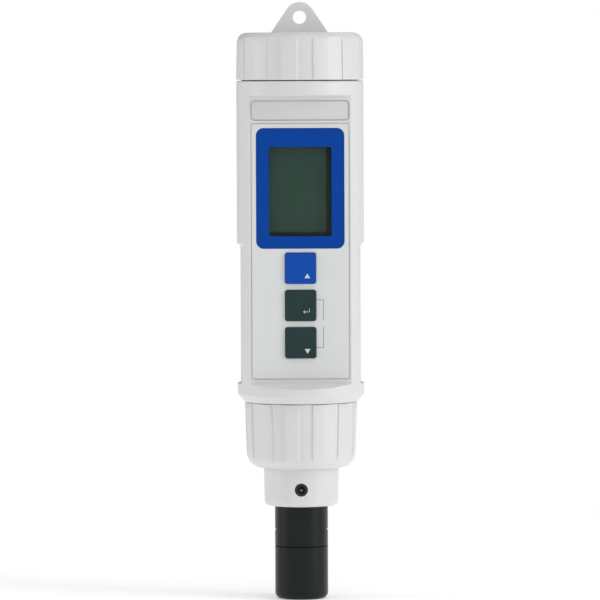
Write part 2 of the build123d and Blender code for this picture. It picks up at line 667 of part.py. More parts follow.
def cell_clearance(low, high):
    """The room that the four cells need between two heights."""
    return [disc(CELL_RADIUS + FIT, low, high, x, y) for x, y in CELL_PLACES]


def chassis():
    """Battery cradle above, board carrier below, in one moulding."""
    radius = CAP_NECK_BORE - CHASSIS_RADIUS_GAP
    rail_top = CAP_NECK_TOP - THREAD_GAP
    trim = disc(radius, CHASSIS_BOTTOM, rail_top)
    base_low = CHASSIS_TOP - CHASSIS_PLATE
    wide = (-radius, radius)
    base = block(wide, (CHASSIS_FRONT, radius), (base_low, CHASSIS_TOP))
    outer = 2 * CELL_OFFSET + RAIL_DEPTH
    tall = (CHASSIS_TOP - FIT, rail_top)
    width = (-RAIL_HALF_WIDTH, RAIL_HALF_WIDTH)
    rails = block(width, (CHASSIS_FRONT, PACK_SHIFT - CELL_OFFSET), tall)
    rails += block(width, (PACK_SHIFT + CELL_OFFSET, radius), tall)
    depth = (PACK_SHIFT - RAIL_HALF_WIDTH, PACK_SHIFT + RAIL_HALF_WIDTH)
    rails += block((CELL_OFFSET, outer), depth, tall)
    rails += block((-outer, -CELL_OFFSET), depth, tall)
    rails -= cell_clearance(CHASSIS_TOP, rail_top + FIT)
    bridge_y = PACK_SHIFT + CELL_OFFSET
    reach = (bridge_y - STRIP_WIDTH / 2 - FIT, bridge_y + STRIP_WIDTH / 2 + FIT)
    rails -= block((-CELL_OFFSET, CELL_OFFSET), reach, (CHASSIS_TOP, CHASSIS_TOP + STRIP_THICKNESS + FIT))
    frame = base + rails
    back = CHASSIS_FRONT + CHASSIS_DEPTH
    level = (CHASSIS_BOTTOM, base_low + FIT)
    for sign in (-1, 1):
        ends = sorted((sign * (CHASSIS_HALF - CHASSIS_SIDE), sign * CHASSIS_HALF))
        frame += block(ends, (CHASSIS_FRONT, back), level)
    inner = (-CHASSIS_HALF, CHASSIS_HALF)
    middle = (FLOOR_TOP + CHASSIS_TOP) / 2
    frame += block(inner, (back - CHASSIS_SIDE, back), (middle, middle + CHASSIS_PLATE))
    sole = (CHASSIS_BOTTOM, CHASSIS_BOTTOM + CHASSIS_PLATE)
    frame += block(inner, (CHASSIS_FRONT, FOOT_SCREW_Y + BOSS_RADIUS), sole)
    for x, y in foot_screw_places():
        frame += disc(BOSS_RADIUS + FIT, CHASSIS_BOTTOM, CHASSIS_BOTTOM + FOOT_BOSS_HEIGHT, x, y)
    for x, z in board_screw_places()[:-1]:
        frame += front_rod(BOSS_RADIUS, CHASSIS_FRONT, CHASSIS_FRONT + SCREW_LENGTH, x, z)
    frame = frame & trim
    half_x = SOCKET_WIDTH / 2 + THREAD_GAP
    open_y = (CHASSIS_FRONT - FIT, SOCKET_DEPTH / 2 + THREAD_GAP)
    frame -= block((-half_x, half_x), open_y, (CHASSIS_BOTTOM - FIT, sole[1] + FIT))
    for x, z in board_screw_places():
        depth_end = BOARD_FRONT + SCREW_LENGTH + FIT
        frame -= front_rod(SCREW_RADIUS + FACE_GAP, CHASSIS_FRONT - FIT, depth_end, x, z)
    for x, y in foot_screw_places():
        top = FLOOR_BOTTOM + FOOT_SCREW_LENGTH + FIT
        frame -= disc(FOOT_SCREW_RADIUS + FACE_GAP, CHASSIS_BOTTOM - FIT, top, x, y)
    return frame


def chassis_screws():
    screws = []
    for x, y in foot_screw_places():
        head = disc(FOOT_HEAD_RADIUS, FLOOR_BOTTOM - FOOT_HEAD_HEIGHT, FLOOR_BOTTOM, x, y)
        screws.append(head + disc(FOOT_SCREW_RADIUS, FLOOR_BOTTOM - FIT, FLOOR_BOTTOM + FOOT_SCREW_LENGTH, x, y))
    return screws


def battery_cell(place, stud_up):
    """One cell, with its stud at the top or at the bottom."""
    x, y = CELL_PLACES[place]
    low = CELL_BOTTOM if stud_up else CELL_BOTTOM + CELL_STUD_LENGTH
    high = CELL_TOP - CELL_STUD_LENGTH if stud_up else CELL_TOP
    can = disc(CELL_RADIUS, low, high, x, y)
    can = fillet(can.edges().filter_by(GeomType.CIRCLE), 2 * FIT)
    return can + disc(CELL_STUD_RADIUS, CELL_BOTTOM, CELL_TOP, x, y)


def contact_leaf(x, y):
    """A bent leaf that presses up against the bottom of one cell."""
    half = STRIP_WIDTH / 2
    rise = CONTACT_ROOM - FACE_GAP
    thick = STRIP_THICKNESS
    outline = [
        (y - half, CHASSIS_TOP),
        (y + half, CHASSIS_TOP),
        (y + half, CHASSIS_TOP + thick),
        (y - half + thick, CHASSIS_TOP + rise - thick),
        (y - half + 2 * thick, CHASSIS_TOP + rise),
        (y - half, CHASSIS_TOP + rise),
        (y - half - thick, CHASSIS_TOP + rise - thick),
        (y + half - 4 * thick, CHASSIS_TOP + thick),
        (y - half, CHASSIS_TOP + thick),
    ]
    face = Plane.YZ * make_face(Polyline(*outline, close=True))
    return Pos(x, 0, 0) * extrude(face, amount=STRIP_WIDTH / 2, both=True)


def cell_bridge():
    """The strip that joins the two rear cells at their lower ends."""
    y = PACK_SHIFT + CELL_OFFSET
    half = STRIP_WIDTH / 2
    span = (-CELL_OFFSET, CELL_OFFSET)
    strip = block(span, (y - half, y + half), (CHASSIS_TOP, CHASSIS_TOP + STRIP_THICKNESS))
    return strip + contact_leaf(-CELL_OFFSET, y) + contact_leaf(CELL_OFFSET, y)


def terminal_contacts():
    """The two leaves under the front cells, each with a tail to the board."""
    y = PACK_SHIFT - CELL_OFFSET
    leaves = []
    for x in (-CELL_OFFSET, CELL_OFFSET):
        tail = (x - STRIP_WIDTH / 4, x + STRIP_WIDTH / 4)
        reach = (BOARD_BACK, y)
        strip = block(tail, reach, (CHASSIS_TOP, CHASSIS_TOP + STRIP_THICKNESS))
        leaves.append(contact_leaf(x, y) + strip)
    return leaves


def socket_block():
    """The angled socket that takes the probe head's pins and stands on the board."""
    half_x = SOCKET_WIDTH / 2
    half_y = SOCKET_DEPTH / 2
    top = FLOOR_TOP + SOCKET_ARM_HIGH
    body = block((-half_x, half_x), (-half_y, half_y), (SOCKET_BOTTOM, top))
    arm = block((-half_x, half_x), (BOARD_BACK, 0), (FLOOR_TOP + SOCKET_ARM_LOW, top))
    body += arm
    for x, y in contact_pin_places():
        body -= disc(CONTACT_PIN_RADIUS + CONTACT_PIN_GAP, SOCKET_BOTTOM - FIT, top - SOCKET_ROOF, x, y)
    return body


def cap_seal():
    radius = CAP_NECK_RADIUS + CAP_SEAL_RADIUS + FACE_GAP
    return torus_ring(radius, CAP_SEAL_RADIUS, HOUSING_TOP + CAP_SEAL_RADIUS + FACE_GAP)


def contact_carrier():
    """The disc in the cap that carries the strips, with two legs that slide in the neck."""
    carrier = disc(CAP_BORE - CELL_SLACK - FIT, CARRIER_BOTTOM, CARRIER_BOTTOM + CARRIER_THICKNESS)
    outer = CAP_NECK_BORE + KEY_LEG_SINK
    low = HOUSING_TOP + KEY_LEG_RISE
    band = tube(outer, outer - KEY_LEG_DEPTH, low, CARRIER_BOTTOM + FIT)
    half = KEY_LEG_WIDTH / 2
    gate = block((-HOUSING_RADIUS, HOUSING_RADIUS), (-half, half), (low, CARRIER_BOTTOM + FIT))
    return carrier + (band & gate)


def contact_strips():
    """The two strips that join front and rear cells at their upper ends."""
    half = STRIP_WIDTH / 2
    reach = (PACK_SHIFT - CELL_OFFSET - half, PACK_SHIFT + CELL_OFFSET + half)
    level = (CARRIER_BOTTOM - STRIP_THICKNESS, CARRIER_BOTTOM)
    return [block((x - half, x + half), reach, level) for x in (-CELL_OFFSET, CELL_OFFSET)]


def snap_ring():
    """The spring ring that keeps the carrier in the cap."""
    outer = CAP_BORE + SNAP_DEPTH - FIT
    outline = [(outer - SNAP_WIDTH, SNAP_LOW), (outer, SNAP_LOW)]
    outline += [(radius, height + SNAP_THICKNESS) for radius, height in reversed(outline)]
    return Rot(0, 0, SNAP_OPENING / 2) * turned(outline, 360 - SNAP_OPENING)


def battery_cap():
    groove = CAP_BORE + SNAP_DEPTH
    groove_low = SNAP_LOW - FACE_GAP
    groove_high = SNAP_LOW + SNAP_THICKNESS + FACE_GAP
    seal_room = CAP_NECK_RADIUS + 2 * CAP_SEAL_RADIUS + 2 * FIT
    ceiling = CAP_TOP - CAP_TOP_WALL
    outline = [
        (seal_room, CAP_BOTTOM),
        (CAP_RADIUS_FOOT - CAP_FOOT_CHAMFER, CAP_BOTTOM),
        (CAP_RADIUS_FOOT, CAP_BOTTOM + CAP_FOOT_CHAMFER),
        (CAP_RADIUS_HEAD, CAP_TOP),
        (0, CAP_TOP),
        (0, ceiling),
        (CAP_BORE, ceiling),
        (CAP_BORE, groove_high),
        (groove, groove_high),
        (groove, groove_low),
        (CAP_BORE, groove_low),
        (CAP_BORE, CAP_BOTTOM + CAP_RING_HEIGHT + FIT),
        (seal_room, CAP_BOTTOM + CAP_RING_HEIGHT),
    ]
    cap = turned(outline)
    cap = fillet(ring_edges(cap, CAP_RADIUS_HEAD, CAP_TOP), CAP_ROUND)
    cap -= flute_cutters(CAP_RADIUS_FOOT, CAP_RADIUS_HEAD, CAP_BOTTOM, CAP_TOP)
    return cap + hanging_eye()


def hanging_eye():
    """The flat tab on the cap, with straight flanks that meet a round eye."""
    lean = math.radians(EYE_LEAN)
    tangent_x = EYE_RADIUS * math.cos(lean)
    tangent_z = EYE_CENTRE + EYE_RADIUS * math.sin(lean)
    foot = CAP_TOP - CAP_TOP_WALL / 2
    foot_x = (EYE_RADIUS + (EYE_CENTRE - foot) * math.sin(lean)) / math.cos(lean)
    flanks = Polyline((-tangent_x, tangent_z), (-foot_x, foot), (foot_x, foot), (tangent_x, tangent_z))
    crown = ThreePointArc((tangent_x, tangent_z), (0, EYE_CENTRE + EYE_RADIUS), (-tangent_x, tangent_z))
    tab = extrude(FRONT_PLANE * make_face([flanks, crown]), amount=EYE_THICKNESS / 2, both=True)
    return tab - front_rod(EYE_BORE, -EYE_THICKNESS, EYE_THICKNESS, 0, EYE_CENTRE)


def coupling_nut():
    mouth = COLLAR_RADIUS_HEAD + NUT_MOUTH_GAP
    shelf = NUT_BOTTOM + NUT_FLOOR
    outline = [
        (mouth, NUT_BOTTOM),
        (NUT_RADIUS_FOOT, NUT_BOTTOM),
        (NUT_RADIUS_HEAD, NUT_TOP),
        (NUT_BORE, NUT_TOP),
        (NUT_BORE, shelf),
        (mouth, shelf),
    ]
    nut = turned(outline)
    nut = fillet(ring_edges(nut, NUT_RADIUS_FOOT, NUT_BOTTOM), NUT_ROUND)
    return nut - flute_cutters(NUT_RADIUS_FOOT, NUT_RADIUS_HEAD, NUT_BOTTOM, NUT_TOP)


def probe_collar():
    """The white body of the probe head, from the collar up to the plug in the neck."""
    web_low = FLANGE_BOTTOM - HEAD_WEB_DROP
    stem_bore = SHAFT_STEM_RADIUS + FIT
    cavity = PLUG_RADIUS - PLUG_WALL
    ledge = FLANGE_TOP - HEAD_LEDGE_DROP
    groove_high = PLUG_TOP - SEAL_DROP + SEAL_GROOVE_WIDTH
    groove = PLUG_RADIUS - SEAL_GROOVE_DEPTH
    outline = [
        (stem_bore, COLLAR_BOTTOM),
        (COLLAR_RADIUS_FOOT, COLLAR_BOTTOM),
        (COLLAR_RADIUS_HEAD, NUT_BOTTOM),
        (COLLAR_RADIUS_HEAD, FLANGE_BOTTOM),
        (FLANGE_RADIUS, FLANGE_BOTTOM),
        (FLANGE_RADIUS, FLANGE_TOP),
        (PLUG_RADIUS, FLANGE_TOP),
        (PLUG_RADIUS, PLUG_TOP - SEAL_DROP),
        (groove, PLUG_TOP - SEAL_DROP),
        (groove, groove_high),
        (PLUG_RADIUS, groove_high),
        (PLUG_RADIUS, PLUG_TOP),
        (cavity, PLUG_TOP),
        (cavity, ledge),
        (cavity - HEAD_LEDGE, ledge),
        (cavity - HEAD_LEDGE, web_low + HEAD_WEB),
        (WIRE_HOLE_RADIUS, web_low + HEAD_WEB),
        (WIRE_HOLE_RADIUS, web_low),
        (stem_bore, web_low),
    ]
    collar = turned(outline)
    collar = fillet(ring_edges(collar, COLLAR_RADIUS_FOOT, COLLAR_BOTTOM), COLLAR_ROUND)
    half = KEYWAY_WIDTH / 2 - KEYWAY_GAP
    reach = NECK_BORE + KEYWAY_DEPTH - KEYWAY_GAP
    rib = tube(reach, PLUG_RADIUS - FIT, FLANGE_TOP - FIT, NECK_BOTTOM + KEYWAY_HEIGHT)
    collar += rib & block((-half, half), (0, reach), (FLANGE_TOP - FIT, PLUG_TOP))
    height = COLLAR_BOTTOM + SENSOR_HEIGHT
    return collar - front_rod(SENSOR_RADIUS + FACE_GAP, -FLANGE_RADIUS, -SHAFT_STEM_RADIUS + MARGIN, 0, height)


def plug_seal():
    radius = PLUG_RADIUS - SEAL_GROOVE_DEPTH + SEAL_RADIUS + FACE_GAP
    return torus_ring(radius, SEAL_RADIUS, PLUG_TOP - SEAL_DROP + SEAL_GROOVE_WIDTH / 2)


def pin_block():
    radius = PLUG_RADIUS - PLUG_WALL - FACE_GAP
    disc_low = PLUG_TOP - PIN_BLOCK_THICKNESS
    lid = disc(radius, disc_low, PLUG_TOP)
    for x, y in contact_pin_places():
        lid -= disc(CONTACT_PIN_RADIUS + FACE_GAP, disc_low - FIT, PLUG_TOP + FIT, x, y)
    return lid


def connector_pins():
    low = PLUG_TOP - PIN_BLOCK_THICKNESS - CONTACT_PIN_TAIL
    high = PLUG_TOP + CONTACT_PIN_RISE
    pins = [disc(CONTACT_PIN_RADIUS, low, high, x, y) for x, y in contact_pin_places()]
    return [chamfer(pin.edges().group_by(Axis.Z)[-1], CONTACT_PIN_RADIUS / 2) for pin in pins]


def head_board():
    ledge = FLANGE_TOP - HEAD_LEDGE_DROP
    return disc(PLUG_RADIUS - PLUG_WALL - FACE_GAP, ledge, ledge + HEAD_BOARD_THICKNESS)


def temperature_bush():
    height = COLLAR_BOTTOM + SENSOR_HEIGHT
    share = SENSOR_HEIGHT / COLLAR_EXPOSED
    face = COLLAR_RADIUS_FOOT + (COLLAR_RADIUS_HEAD - COLLAR_RADIUS_FOOT) * share
    bush = front_rod(SENSOR_RADIUS, -FLANGE_RADIUS, -SHAFT_STEM_RADIUS, 0, height)
    bush -= disc(SHAFT_STEM_RADIUS + FACE_GAP, COLLAR_BOTTOM, NUT_BOTTOM)
    bush = bush & disc(face, COLLAR_BOTTOM, NUT_BOTTOM)
    return bush - front_rod(SENSOR_BORE, -FLANGE_RADIUS, 0, 0, height)


def temperature_tip():
    height = COLLAR_BOTTOM + SENSOR_HEIGHT
    front = -COLLAR_RADIUS_FOOT + SENSOR_TIP_SINK
    tip = front_rod(SENSOR_TIP_RADIUS, front, -SHAFT_STEM_RADIUS - FACE_GAP, 0, height)
    return fillet(tip.faces().sort_by(Axis.Y)[0].edges(), SENSOR_TIP_RADIUS / 2)


def probe_shaft():
    """The black shaft, with a neck for the membrane cap below and a stem in the collar."""
    stem_top = FLANGE_BOTTOM - HEAD_WEB_DROP - FIT
    bore = ELECTRODE_RADIUS + FIT
    outline = [
        (CELL_CHAMBER_RADIUS, TIP_NECK_BOTTOM),
        (TIP_NECK_RADIUS, TIP_NECK_BOTTOM),
        (TIP_NECK_RADIUS, SHAFT_BOTTOM),
        (SHAFT_RADIUS, SHAFT_BOTTOM),
        (SHAFT_RADIUS, COLLAR_BOTTOM - FACE_GAP),
        (SHAFT_STEM_RADIUS, COLLAR_BOTTOM - FACE_GAP),
        (SHAFT_STEM_RADIUS, stem_top),
        (bore, stem_top),
        (bore, CELL_CHAMBER_TOP),
        (CELL_CHAMBER_RADIUS, CELL_CHAMBER_TOP),
    ]
    shaft = turned(outline)
    low = SHAFT_BOTTOM + SHAFT_NOTCH_RISE
    high = low + SHAFT_NOTCH_HEIGHT
    half = SHAFT_NOTCH_WIDTH / 2
    band = tube(SHAFT_RADIUS + FIT, SHAFT_RADIUS - SHAFT_NOTCH_DEPTH, low, high)
    return shaft - (band & block((-HOUSING_RADIUS, HOUSING_RADIUS), (-half, half), (low, high)))


def electrode_rod():
    """The insulating rod that holds the cathode at its tip."""
    tip = MEMBRANE_TOP + FIT
    top = FLANGE_BOTTOM - HEAD_WEB_DROP - MARGIN
    outline = [
        (0, tip),
        (ELECTRODE_TIP_RADIUS - ELECTRODE_TIP_CHAMFER, tip),
        (ELECTRODE_TIP_RADIUS, tip + ELECTRODE_TIP_CHAMFER),
        (ELECTRODE_TIP_RADIUS, CELL_CHAMBER_TOP),
        (ELECTRODE_RADIUS, CELL_CHAMBER_TOP),
        (ELECTRODE_RADIUS, top),
        (0, top),
    ]
    return turned(outline) - disc(CATHODE_RADIUS + FACE_GAP, tip - FIT, tip + CATHODE_LENGTH)


def cathode():
    tip = MEMBRANE_TOP + FIT
    return disc(CATHODE_RADIUS, tip, tip + CATHODE_LENGTH - FACE_GAP)


def anode():
    return tube(ANODE_BORE + ANODE_THICKNESS, ANODE_BORE, TIP_NECK_BOTTOM, CELL_CHAMBER_TOP - FACE_GAP)


def tip_seal():
    radius = TIP_NECK_RADIUS + TIP_SEAL_RADIUS + FACE_GAP
    return torus_ring(radius, TIP_SEAL_RADIUS, SHAFT_BOTTOM - TIP_SEAL_RADIUS - FACE_GAP)


def membrane():
    return disc(MEMBRANE_RADIUS, MEMBRANE_SEAT, MEMBRANE_TOP)


def membrane_ring():
    bore = MEMBRANE_RADIUS - MEMBRANE_RING_WIDTH
    return tube(MEMBRANE_RADIUS, bore, MEMBRANE_TOP, MEMBRANE_TOP + MEMBRANE_RING_HEIGHT)


def membrane_cap():
    bore = TIP_NECK_RADIUS + THREAD_GAP
    step = TIP_NECK_BOTTOM - CELL_SLACK
    seal_bore = SHAFT_RADIUS - TIP_WALL
    outline = [
        (MEMBRANE_OPENING, 0),
        (SHAFT_RADIUS, 0),
        (SHAFT_RADIUS, MEMBRANE_CAP_HEIGHT),
        (seal_bore, MEMBRANE_CAP_HEIGHT),
        (seal_bore, MEMBRANE_CAP_HEIGHT - TIP_SEAL_ROOM),
        (bore, MEMBRANE_CAP_HEIGHT - TIP_SEAL_ROOM),
        (bore, step),
        (MEMBRANE_RADIUS + FIT, step),
        (MEMBRANE_RADIUS + FIT, MEMBRANE_SEAT),
        (MEMBRANE_OPENING, MEMBRANE_SEAT),
    ]
    return fillet(ring_edges(turned(outline), SHAFT_RADIUS, 0), MEMBRANE_CAP_ROUND)


def save(name, shape):
    """Write one node's solids to its STEP file."""
    solids = shape if isinstance(shape, list) else [shape]
    solids = [solid for piece in solids for solid in piece.solids()]
    body = solids[0] if len(solids) == 1 else Compound(children=solids)
    body.label = name
    export_step(body, "parts/" + name + ".step")


os.makedirs("parts", exist_ok=True)

save("main_housing", main_housing())
save("faceplate", faceplate())
save("display_bezel", display_bezel())
save("display_window", display_window())
save("blank_plate", blank_plate())
save("power_key", key(KEY_CENTRES[0]))
save("hold_key", key(KEY_CENTRES[1]))
save("record_key", key(KEY_CENTRES[2]))
save("key_domes", key_domes())
save("lcd_panel", lcd_panel())
save("lcd_pins", lcd_pins())
save("main_board", main_board())
save("microcontroller", microcontroller())
save("board_components", board_components())
save("board_screws", board_screws())
save("chassis", chassis())
save("chassis_screws", chassis_screws())
for place in range(len(CELL_PLACES)):
    save("battery_cell_" + str(place + 1), battery_cell(place, place in (0, 3)))
save("cell_bridge", cell_bridge())
save("terminal_contacts", terminal_contacts())
save("socket_block", socket_block())
save("cap_seal", cap_seal())
save("contact_carrier", contact_carrier())
save("contact_strips", contact_strips())
save("snap_ring", snap_ring())
save("battery_cap", battery_cap())
save("coupling_nut", coupling_nut())
save("probe_collar", probe_collar())
save("plug_seal", plug_seal())
save("pin_block", pin_block())
save("connector_pins", connector_pins())
save("head_board", head_board())
save("temperature_bush", temperature_bush())
save("temperature_tip", temperature_tip())
save("probe_shaft", probe_shaft())
save("electrode_rod", electrode_rod())
save("cathode", cathode())
save("anode", anode())
save("tip_seal", tip_seal())
save("membrane", membrane())
save("membrane_ring", membrane_ring())
save("membrane_cap", membrane_cap())
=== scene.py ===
"""Dissolved oxygen pen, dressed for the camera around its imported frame. Lengths are in metres."""

import json
import logging
import math
from dataclasses import dataclass
from enum import Enum
from typing import Callable, Iterable, Sequence

import bmesh
import bpy
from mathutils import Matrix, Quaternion, Vector


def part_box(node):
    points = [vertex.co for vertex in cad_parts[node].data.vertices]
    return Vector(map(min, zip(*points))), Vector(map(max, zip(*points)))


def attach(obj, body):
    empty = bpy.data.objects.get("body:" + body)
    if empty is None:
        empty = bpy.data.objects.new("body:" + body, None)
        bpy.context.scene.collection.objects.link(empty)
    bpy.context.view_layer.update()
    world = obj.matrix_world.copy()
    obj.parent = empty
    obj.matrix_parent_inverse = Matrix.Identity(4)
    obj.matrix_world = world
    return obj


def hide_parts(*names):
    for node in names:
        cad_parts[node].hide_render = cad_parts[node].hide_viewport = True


logging.basicConfig(level=logging.INFO, format="%(message)s")
LOG = logging.getLogger("pen")

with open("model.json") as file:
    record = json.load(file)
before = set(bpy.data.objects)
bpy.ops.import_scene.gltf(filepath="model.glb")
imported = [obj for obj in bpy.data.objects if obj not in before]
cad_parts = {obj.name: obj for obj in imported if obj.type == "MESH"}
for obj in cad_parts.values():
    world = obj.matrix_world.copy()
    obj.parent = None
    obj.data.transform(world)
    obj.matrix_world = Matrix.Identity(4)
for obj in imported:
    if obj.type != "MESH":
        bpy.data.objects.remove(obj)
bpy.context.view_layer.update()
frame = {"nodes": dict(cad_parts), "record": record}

MM = 0.001
RING_SEGMENTS = 288
BARREL_SEGMENTS = 192
SMALL_SEGMENTS = 64
SMOOTH_ANGLE = math.radians(28)
KEY_SMOOTH_ANGLE = math.radians(50)
SHARP_ANGLE = math.radians(35)
TIP_PITCH = 1 * MM
TOUCH = 0.01 * MM
DOUBLE = 0.002 * MM
WHITE = (1.0, 1.0, 1.0)
Point = tuple[float, float]
Colour = tuple[float, float, float]


def srgb(red: int, green: int, blue: int) -> Colour:
    """Turn a colour of 0 to 255 per channel into Blender's linear colour.

    Args:
        red: The red channel.
        green: The green channel.
        blue: The blue channel.

    Returns:
        The linear colour.
    """
    def linear(value: float) -> float:
        """Take the display's curve off one channel."""
        return value / 12.92 if value <= 0.04045 else ((value + 0.055) / 1.055) ** 2.4
    return linear(red / 255), linear(green / 255), linear(blue / 255)


def _rgba(value: object) -> object:
    """Give a plain colour its fourth channel."""
    return (*value, 1.0) if isinstance(value, tuple) and len(value) == 3 else value


def _scaled(colour: Colour, factor: float) -> Colour:
    """Make a colour lighter or darker by a factor."""
    return tuple(min(1.0, channel * factor) for channel in colour)


def _lifted(colour: Colour, amount: float) -> Colour:
    """Add the same amount to each channel."""
    return tuple(min(1.0, channel + amount) for channel in colour)


class Socket:
    """One number or vector in a shader, with arithmetic that adds Math nodes."""

    def __init__(self, shader: "Shader", link: bpy.types.NodeSocket) -> None:
        """Wrap a node's output.

        Args:
            shader: The shader that the node is in.
            link: The output socket.
        """
        self.shader = shader
        self.link = link

    def math(self, operation: str, *others: object) -> "Socket":
        """Apply a Math node to this socket and up to two more values."""
        values = dict(enumerate((self, *others)))
        return self.shader.node("ShaderNodeMath", {"operation": operation}, values)

    def __add__(self, other: object) -> "Socket":
        """Add."""
        return self.math("ADD", other)

    __radd__ = __add__

    def __mul__(self, other: object) -> "Socket":
        """Multiply."""
        return self.math("MULTIPLY", other)

    __rmul__ = __mul__

    def __sub__(self, other: object) -> "Socket":
        """Subtract."""
        return self.math("SUBTRACT", other)

    def __rsub__(self, other: float) -> "Socket":
        """Subtract this socket from a number."""
        return self.math("MULTIPLY", -1.0).math("ADD", other)

    def __gt__(self, other: object) -> "Socket":
        """Give 1 where this socket is greater."""
        return self.math("GREATER_THAN", other)

    def __lt__(self, other: object) -> "Socket":
        """Give 1 where this socket is less."""
        return self.math("LESS_THAN", other)

    def size(self) -> "Socket":
        """Drop the sign."""
        return self.math("ABSOLUTE")

    def power(self, exponent: float) -> "Socket":
        """Raise to a power."""
        return self.math("POWER", exponent)

    def ramp(self, low: float, high: float) -> "Socket":
        """Rise smoothly from 0 at low to 1 at high."""
        values = {"Value": self, "From Min": low, "From Max": high}
        return self.shader.node("ShaderNodeMapRange", {"interpolation_type": "SMOOTHSTEP"}, values)


class Shader:
    """The node tree of a material or of the world, built by expressions."""

    def __init__(self, owner: bpy.types.ID) -> None:
        """Start an empty tree.

        Args:
            owner: The material or world that the tree belongs to.
        """
        owner.use_nodes = True
        self.owner = owner
        self.tree = owner.node_tree
        self.tree.nodes.clear()

    def raw(self, kind: str, settings: dict[str, object], values: dict) -> bpy.types.Node:
        """Add a node, set it, and fill or link its inputs.

        Args:
            kind: The node's type.
            settings: Attributes set on the node first.
            values: Numbers, colours or sockets by input name or place.

        Returns:
            The node.
        """
        node = self.tree.nodes.new(kind)
        for key, value in settings.items():
            setattr(node, key, value)
        for key, value in values.items():
            target = node.inputs[key]
            link = value.link if isinstance(value, Socket) else value
            if isinstance(link, bpy.types.NodeSocket):
                self.tree.links.new(link, target)
            else:
                target.default_value = _rgba(value) if target.type == "RGBA" else value
        return node

    def node(self, kind: str, settings: dict[str, object], values: dict) -> Socket:
        """Add a node and wrap its first output."""
        return Socket(self, self.raw(kind, settings, values).outputs[0])

    def place(self) -> Socket:
        """Give the point on the surface, in the object's own metres."""
        return Socket(self, self.raw("ShaderNodeTexCoord", {}, {}).outputs["Object"])

    def axes(self) -> tuple[Socket, Socket, Socket]:
        """Give the point's X, Y and Z apart."""
        parts = self.raw("ShaderNodeSeparateXYZ", {}, {0: self.place()}).outputs
        return Socket(self, parts[0]), Socket(self, parts[1]), Socket(self, parts[2])

    def stretched(self, factors: tuple[float, float, float]) -> Socket:
        """Give the point with its axes scaled."""
        return self.node("ShaderNodeMapping", {}, {"Vector": self.place(), "Scale": factors})

    def noise(self, scale: float, detail: float = 2.0, at: Socket | None = None) -> Socket:
        """Give smooth noise about 0.5, with a scale in waves per metre."""
        values = {"Vector": at or self.place(), "Scale": scale, "Detail": detail, "Roughness": 0.55}
        return self.node("ShaderNodeTexNoise", {"noise_dimensions": "3D"}, values)

    def mix(self, factor: object, low: object, high: object, blend: str = "MIX") -> Socket:
        """Blend two colours, through the sockets that the node keeps for colours.

        Args:
            factor: How much of the second colour shows.
            low: The first colour.
            high: The second colour.
            blend: The node's way of blending.

        Returns:
            The blended colour.
        """
        settings = {"data_type": "RGBA", "blend_type": blend, "clamp_factor": True}
        node = self.raw("ShaderNodeMix", settings, {0: factor, 6: low, 7: high})
        return Socket(self, node.outputs[2])

    def drifted(self, noise: Socket, colour: Colour, below: float, above: float) -> Socket:
        """Let a colour wander between two factors of itself."""
        return self.mix(noise, _scaled(colour, below), _scaled(colour, above))

    def shade(self, colour: Socket, amount: Socket) -> Socket:
        """Multiply a colour by a number."""
        grey = self.node("ShaderNodeCombineColor", {}, {0: amount, 1: amount, 2: amount})
        return self.mix(1.0, colour, grey, "MULTIPLY")

    def speckled(self, colour: Socket, noise: Socket, amount: float) -> Socket:
        """Darken a colour where noise is above its middle, and lighten it below."""
        return self.shade(colour, 1.0 - (noise - 0.5) * amount)

    def bump(self, height: Socket, depth: float, strength: float) -> Socket:
        """Turn a height of 0 to 1 into a bent normal, for a depth in metres."""
        return self.node("ShaderNodeBump", {}, {"Strength": strength, "Distance": depth, "Height": height})


@dataclass(frozen=True)
class Finish:
    """A finish that ends in one Principled shader. Each kind of finish gives that shader's inputs."""

    name: str
    colour: Colour

    def build(self) -> bpy.types.Material:
        """Make the material.

        Returns:
            The material, named after the finish.
        """
        shader = Shader(bpy.data.materials.new(self.name))
        surface = shader.raw("ShaderNodeBsdfPrincipled", {}, self.inputs(shader))
        shader.raw("ShaderNodeOutputMaterial", {}, {"Surface": surface.outputs[0]})
        return shader.owner

    def inputs(self, shader: Shader) -> dict[str, object]:
        """Leave the inputs to each kind of finish."""
        raise NotImplementedError


@dataclass(frozen=True)
class Moulding(Finish):
    """Injection-moulded plastic with fine spark texture and a faint colour drift."""

    roughness: float = 0.42
    grain: float = 2600.0
    grain_depth: float = 0.010 * MM
    drift: float = 0.03
    specular: float = 0.5

    def inputs(self, shader: Shader) -> dict[str, object]:
        """Set fine cells and specks over a broad drift.

        Args:
            shader: The tree for the pattern's nodes.

        Returns:
            The Principled shader's inputs.
        """
        broad = shader.noise(38.0)
        fine = shader.noise(self.grain)
        cells = shader.node(
            "ShaderNodeTexVoronoi", {"feature": "SMOOTH_F1"},
            {"Vector": shader.place(), "Scale": self.grain * 0.6, "Smoothness": 0.6})
        tone = shader.drifted(broad, self.colour, 1 - self.drift, 1 + self.drift)
        return {
            "Base Color": shader.speckled(tone, fine, 0.03),
            "Roughness": (broad - 0.5) * 0.10 + (fine - 0.5) * 0.12 + self.roughness,
            "Specular IOR Level": self.specular,
            "Normal": shader.bump(cells * 0.7 + fine * 0.5, self.grain_depth, 0.6)}


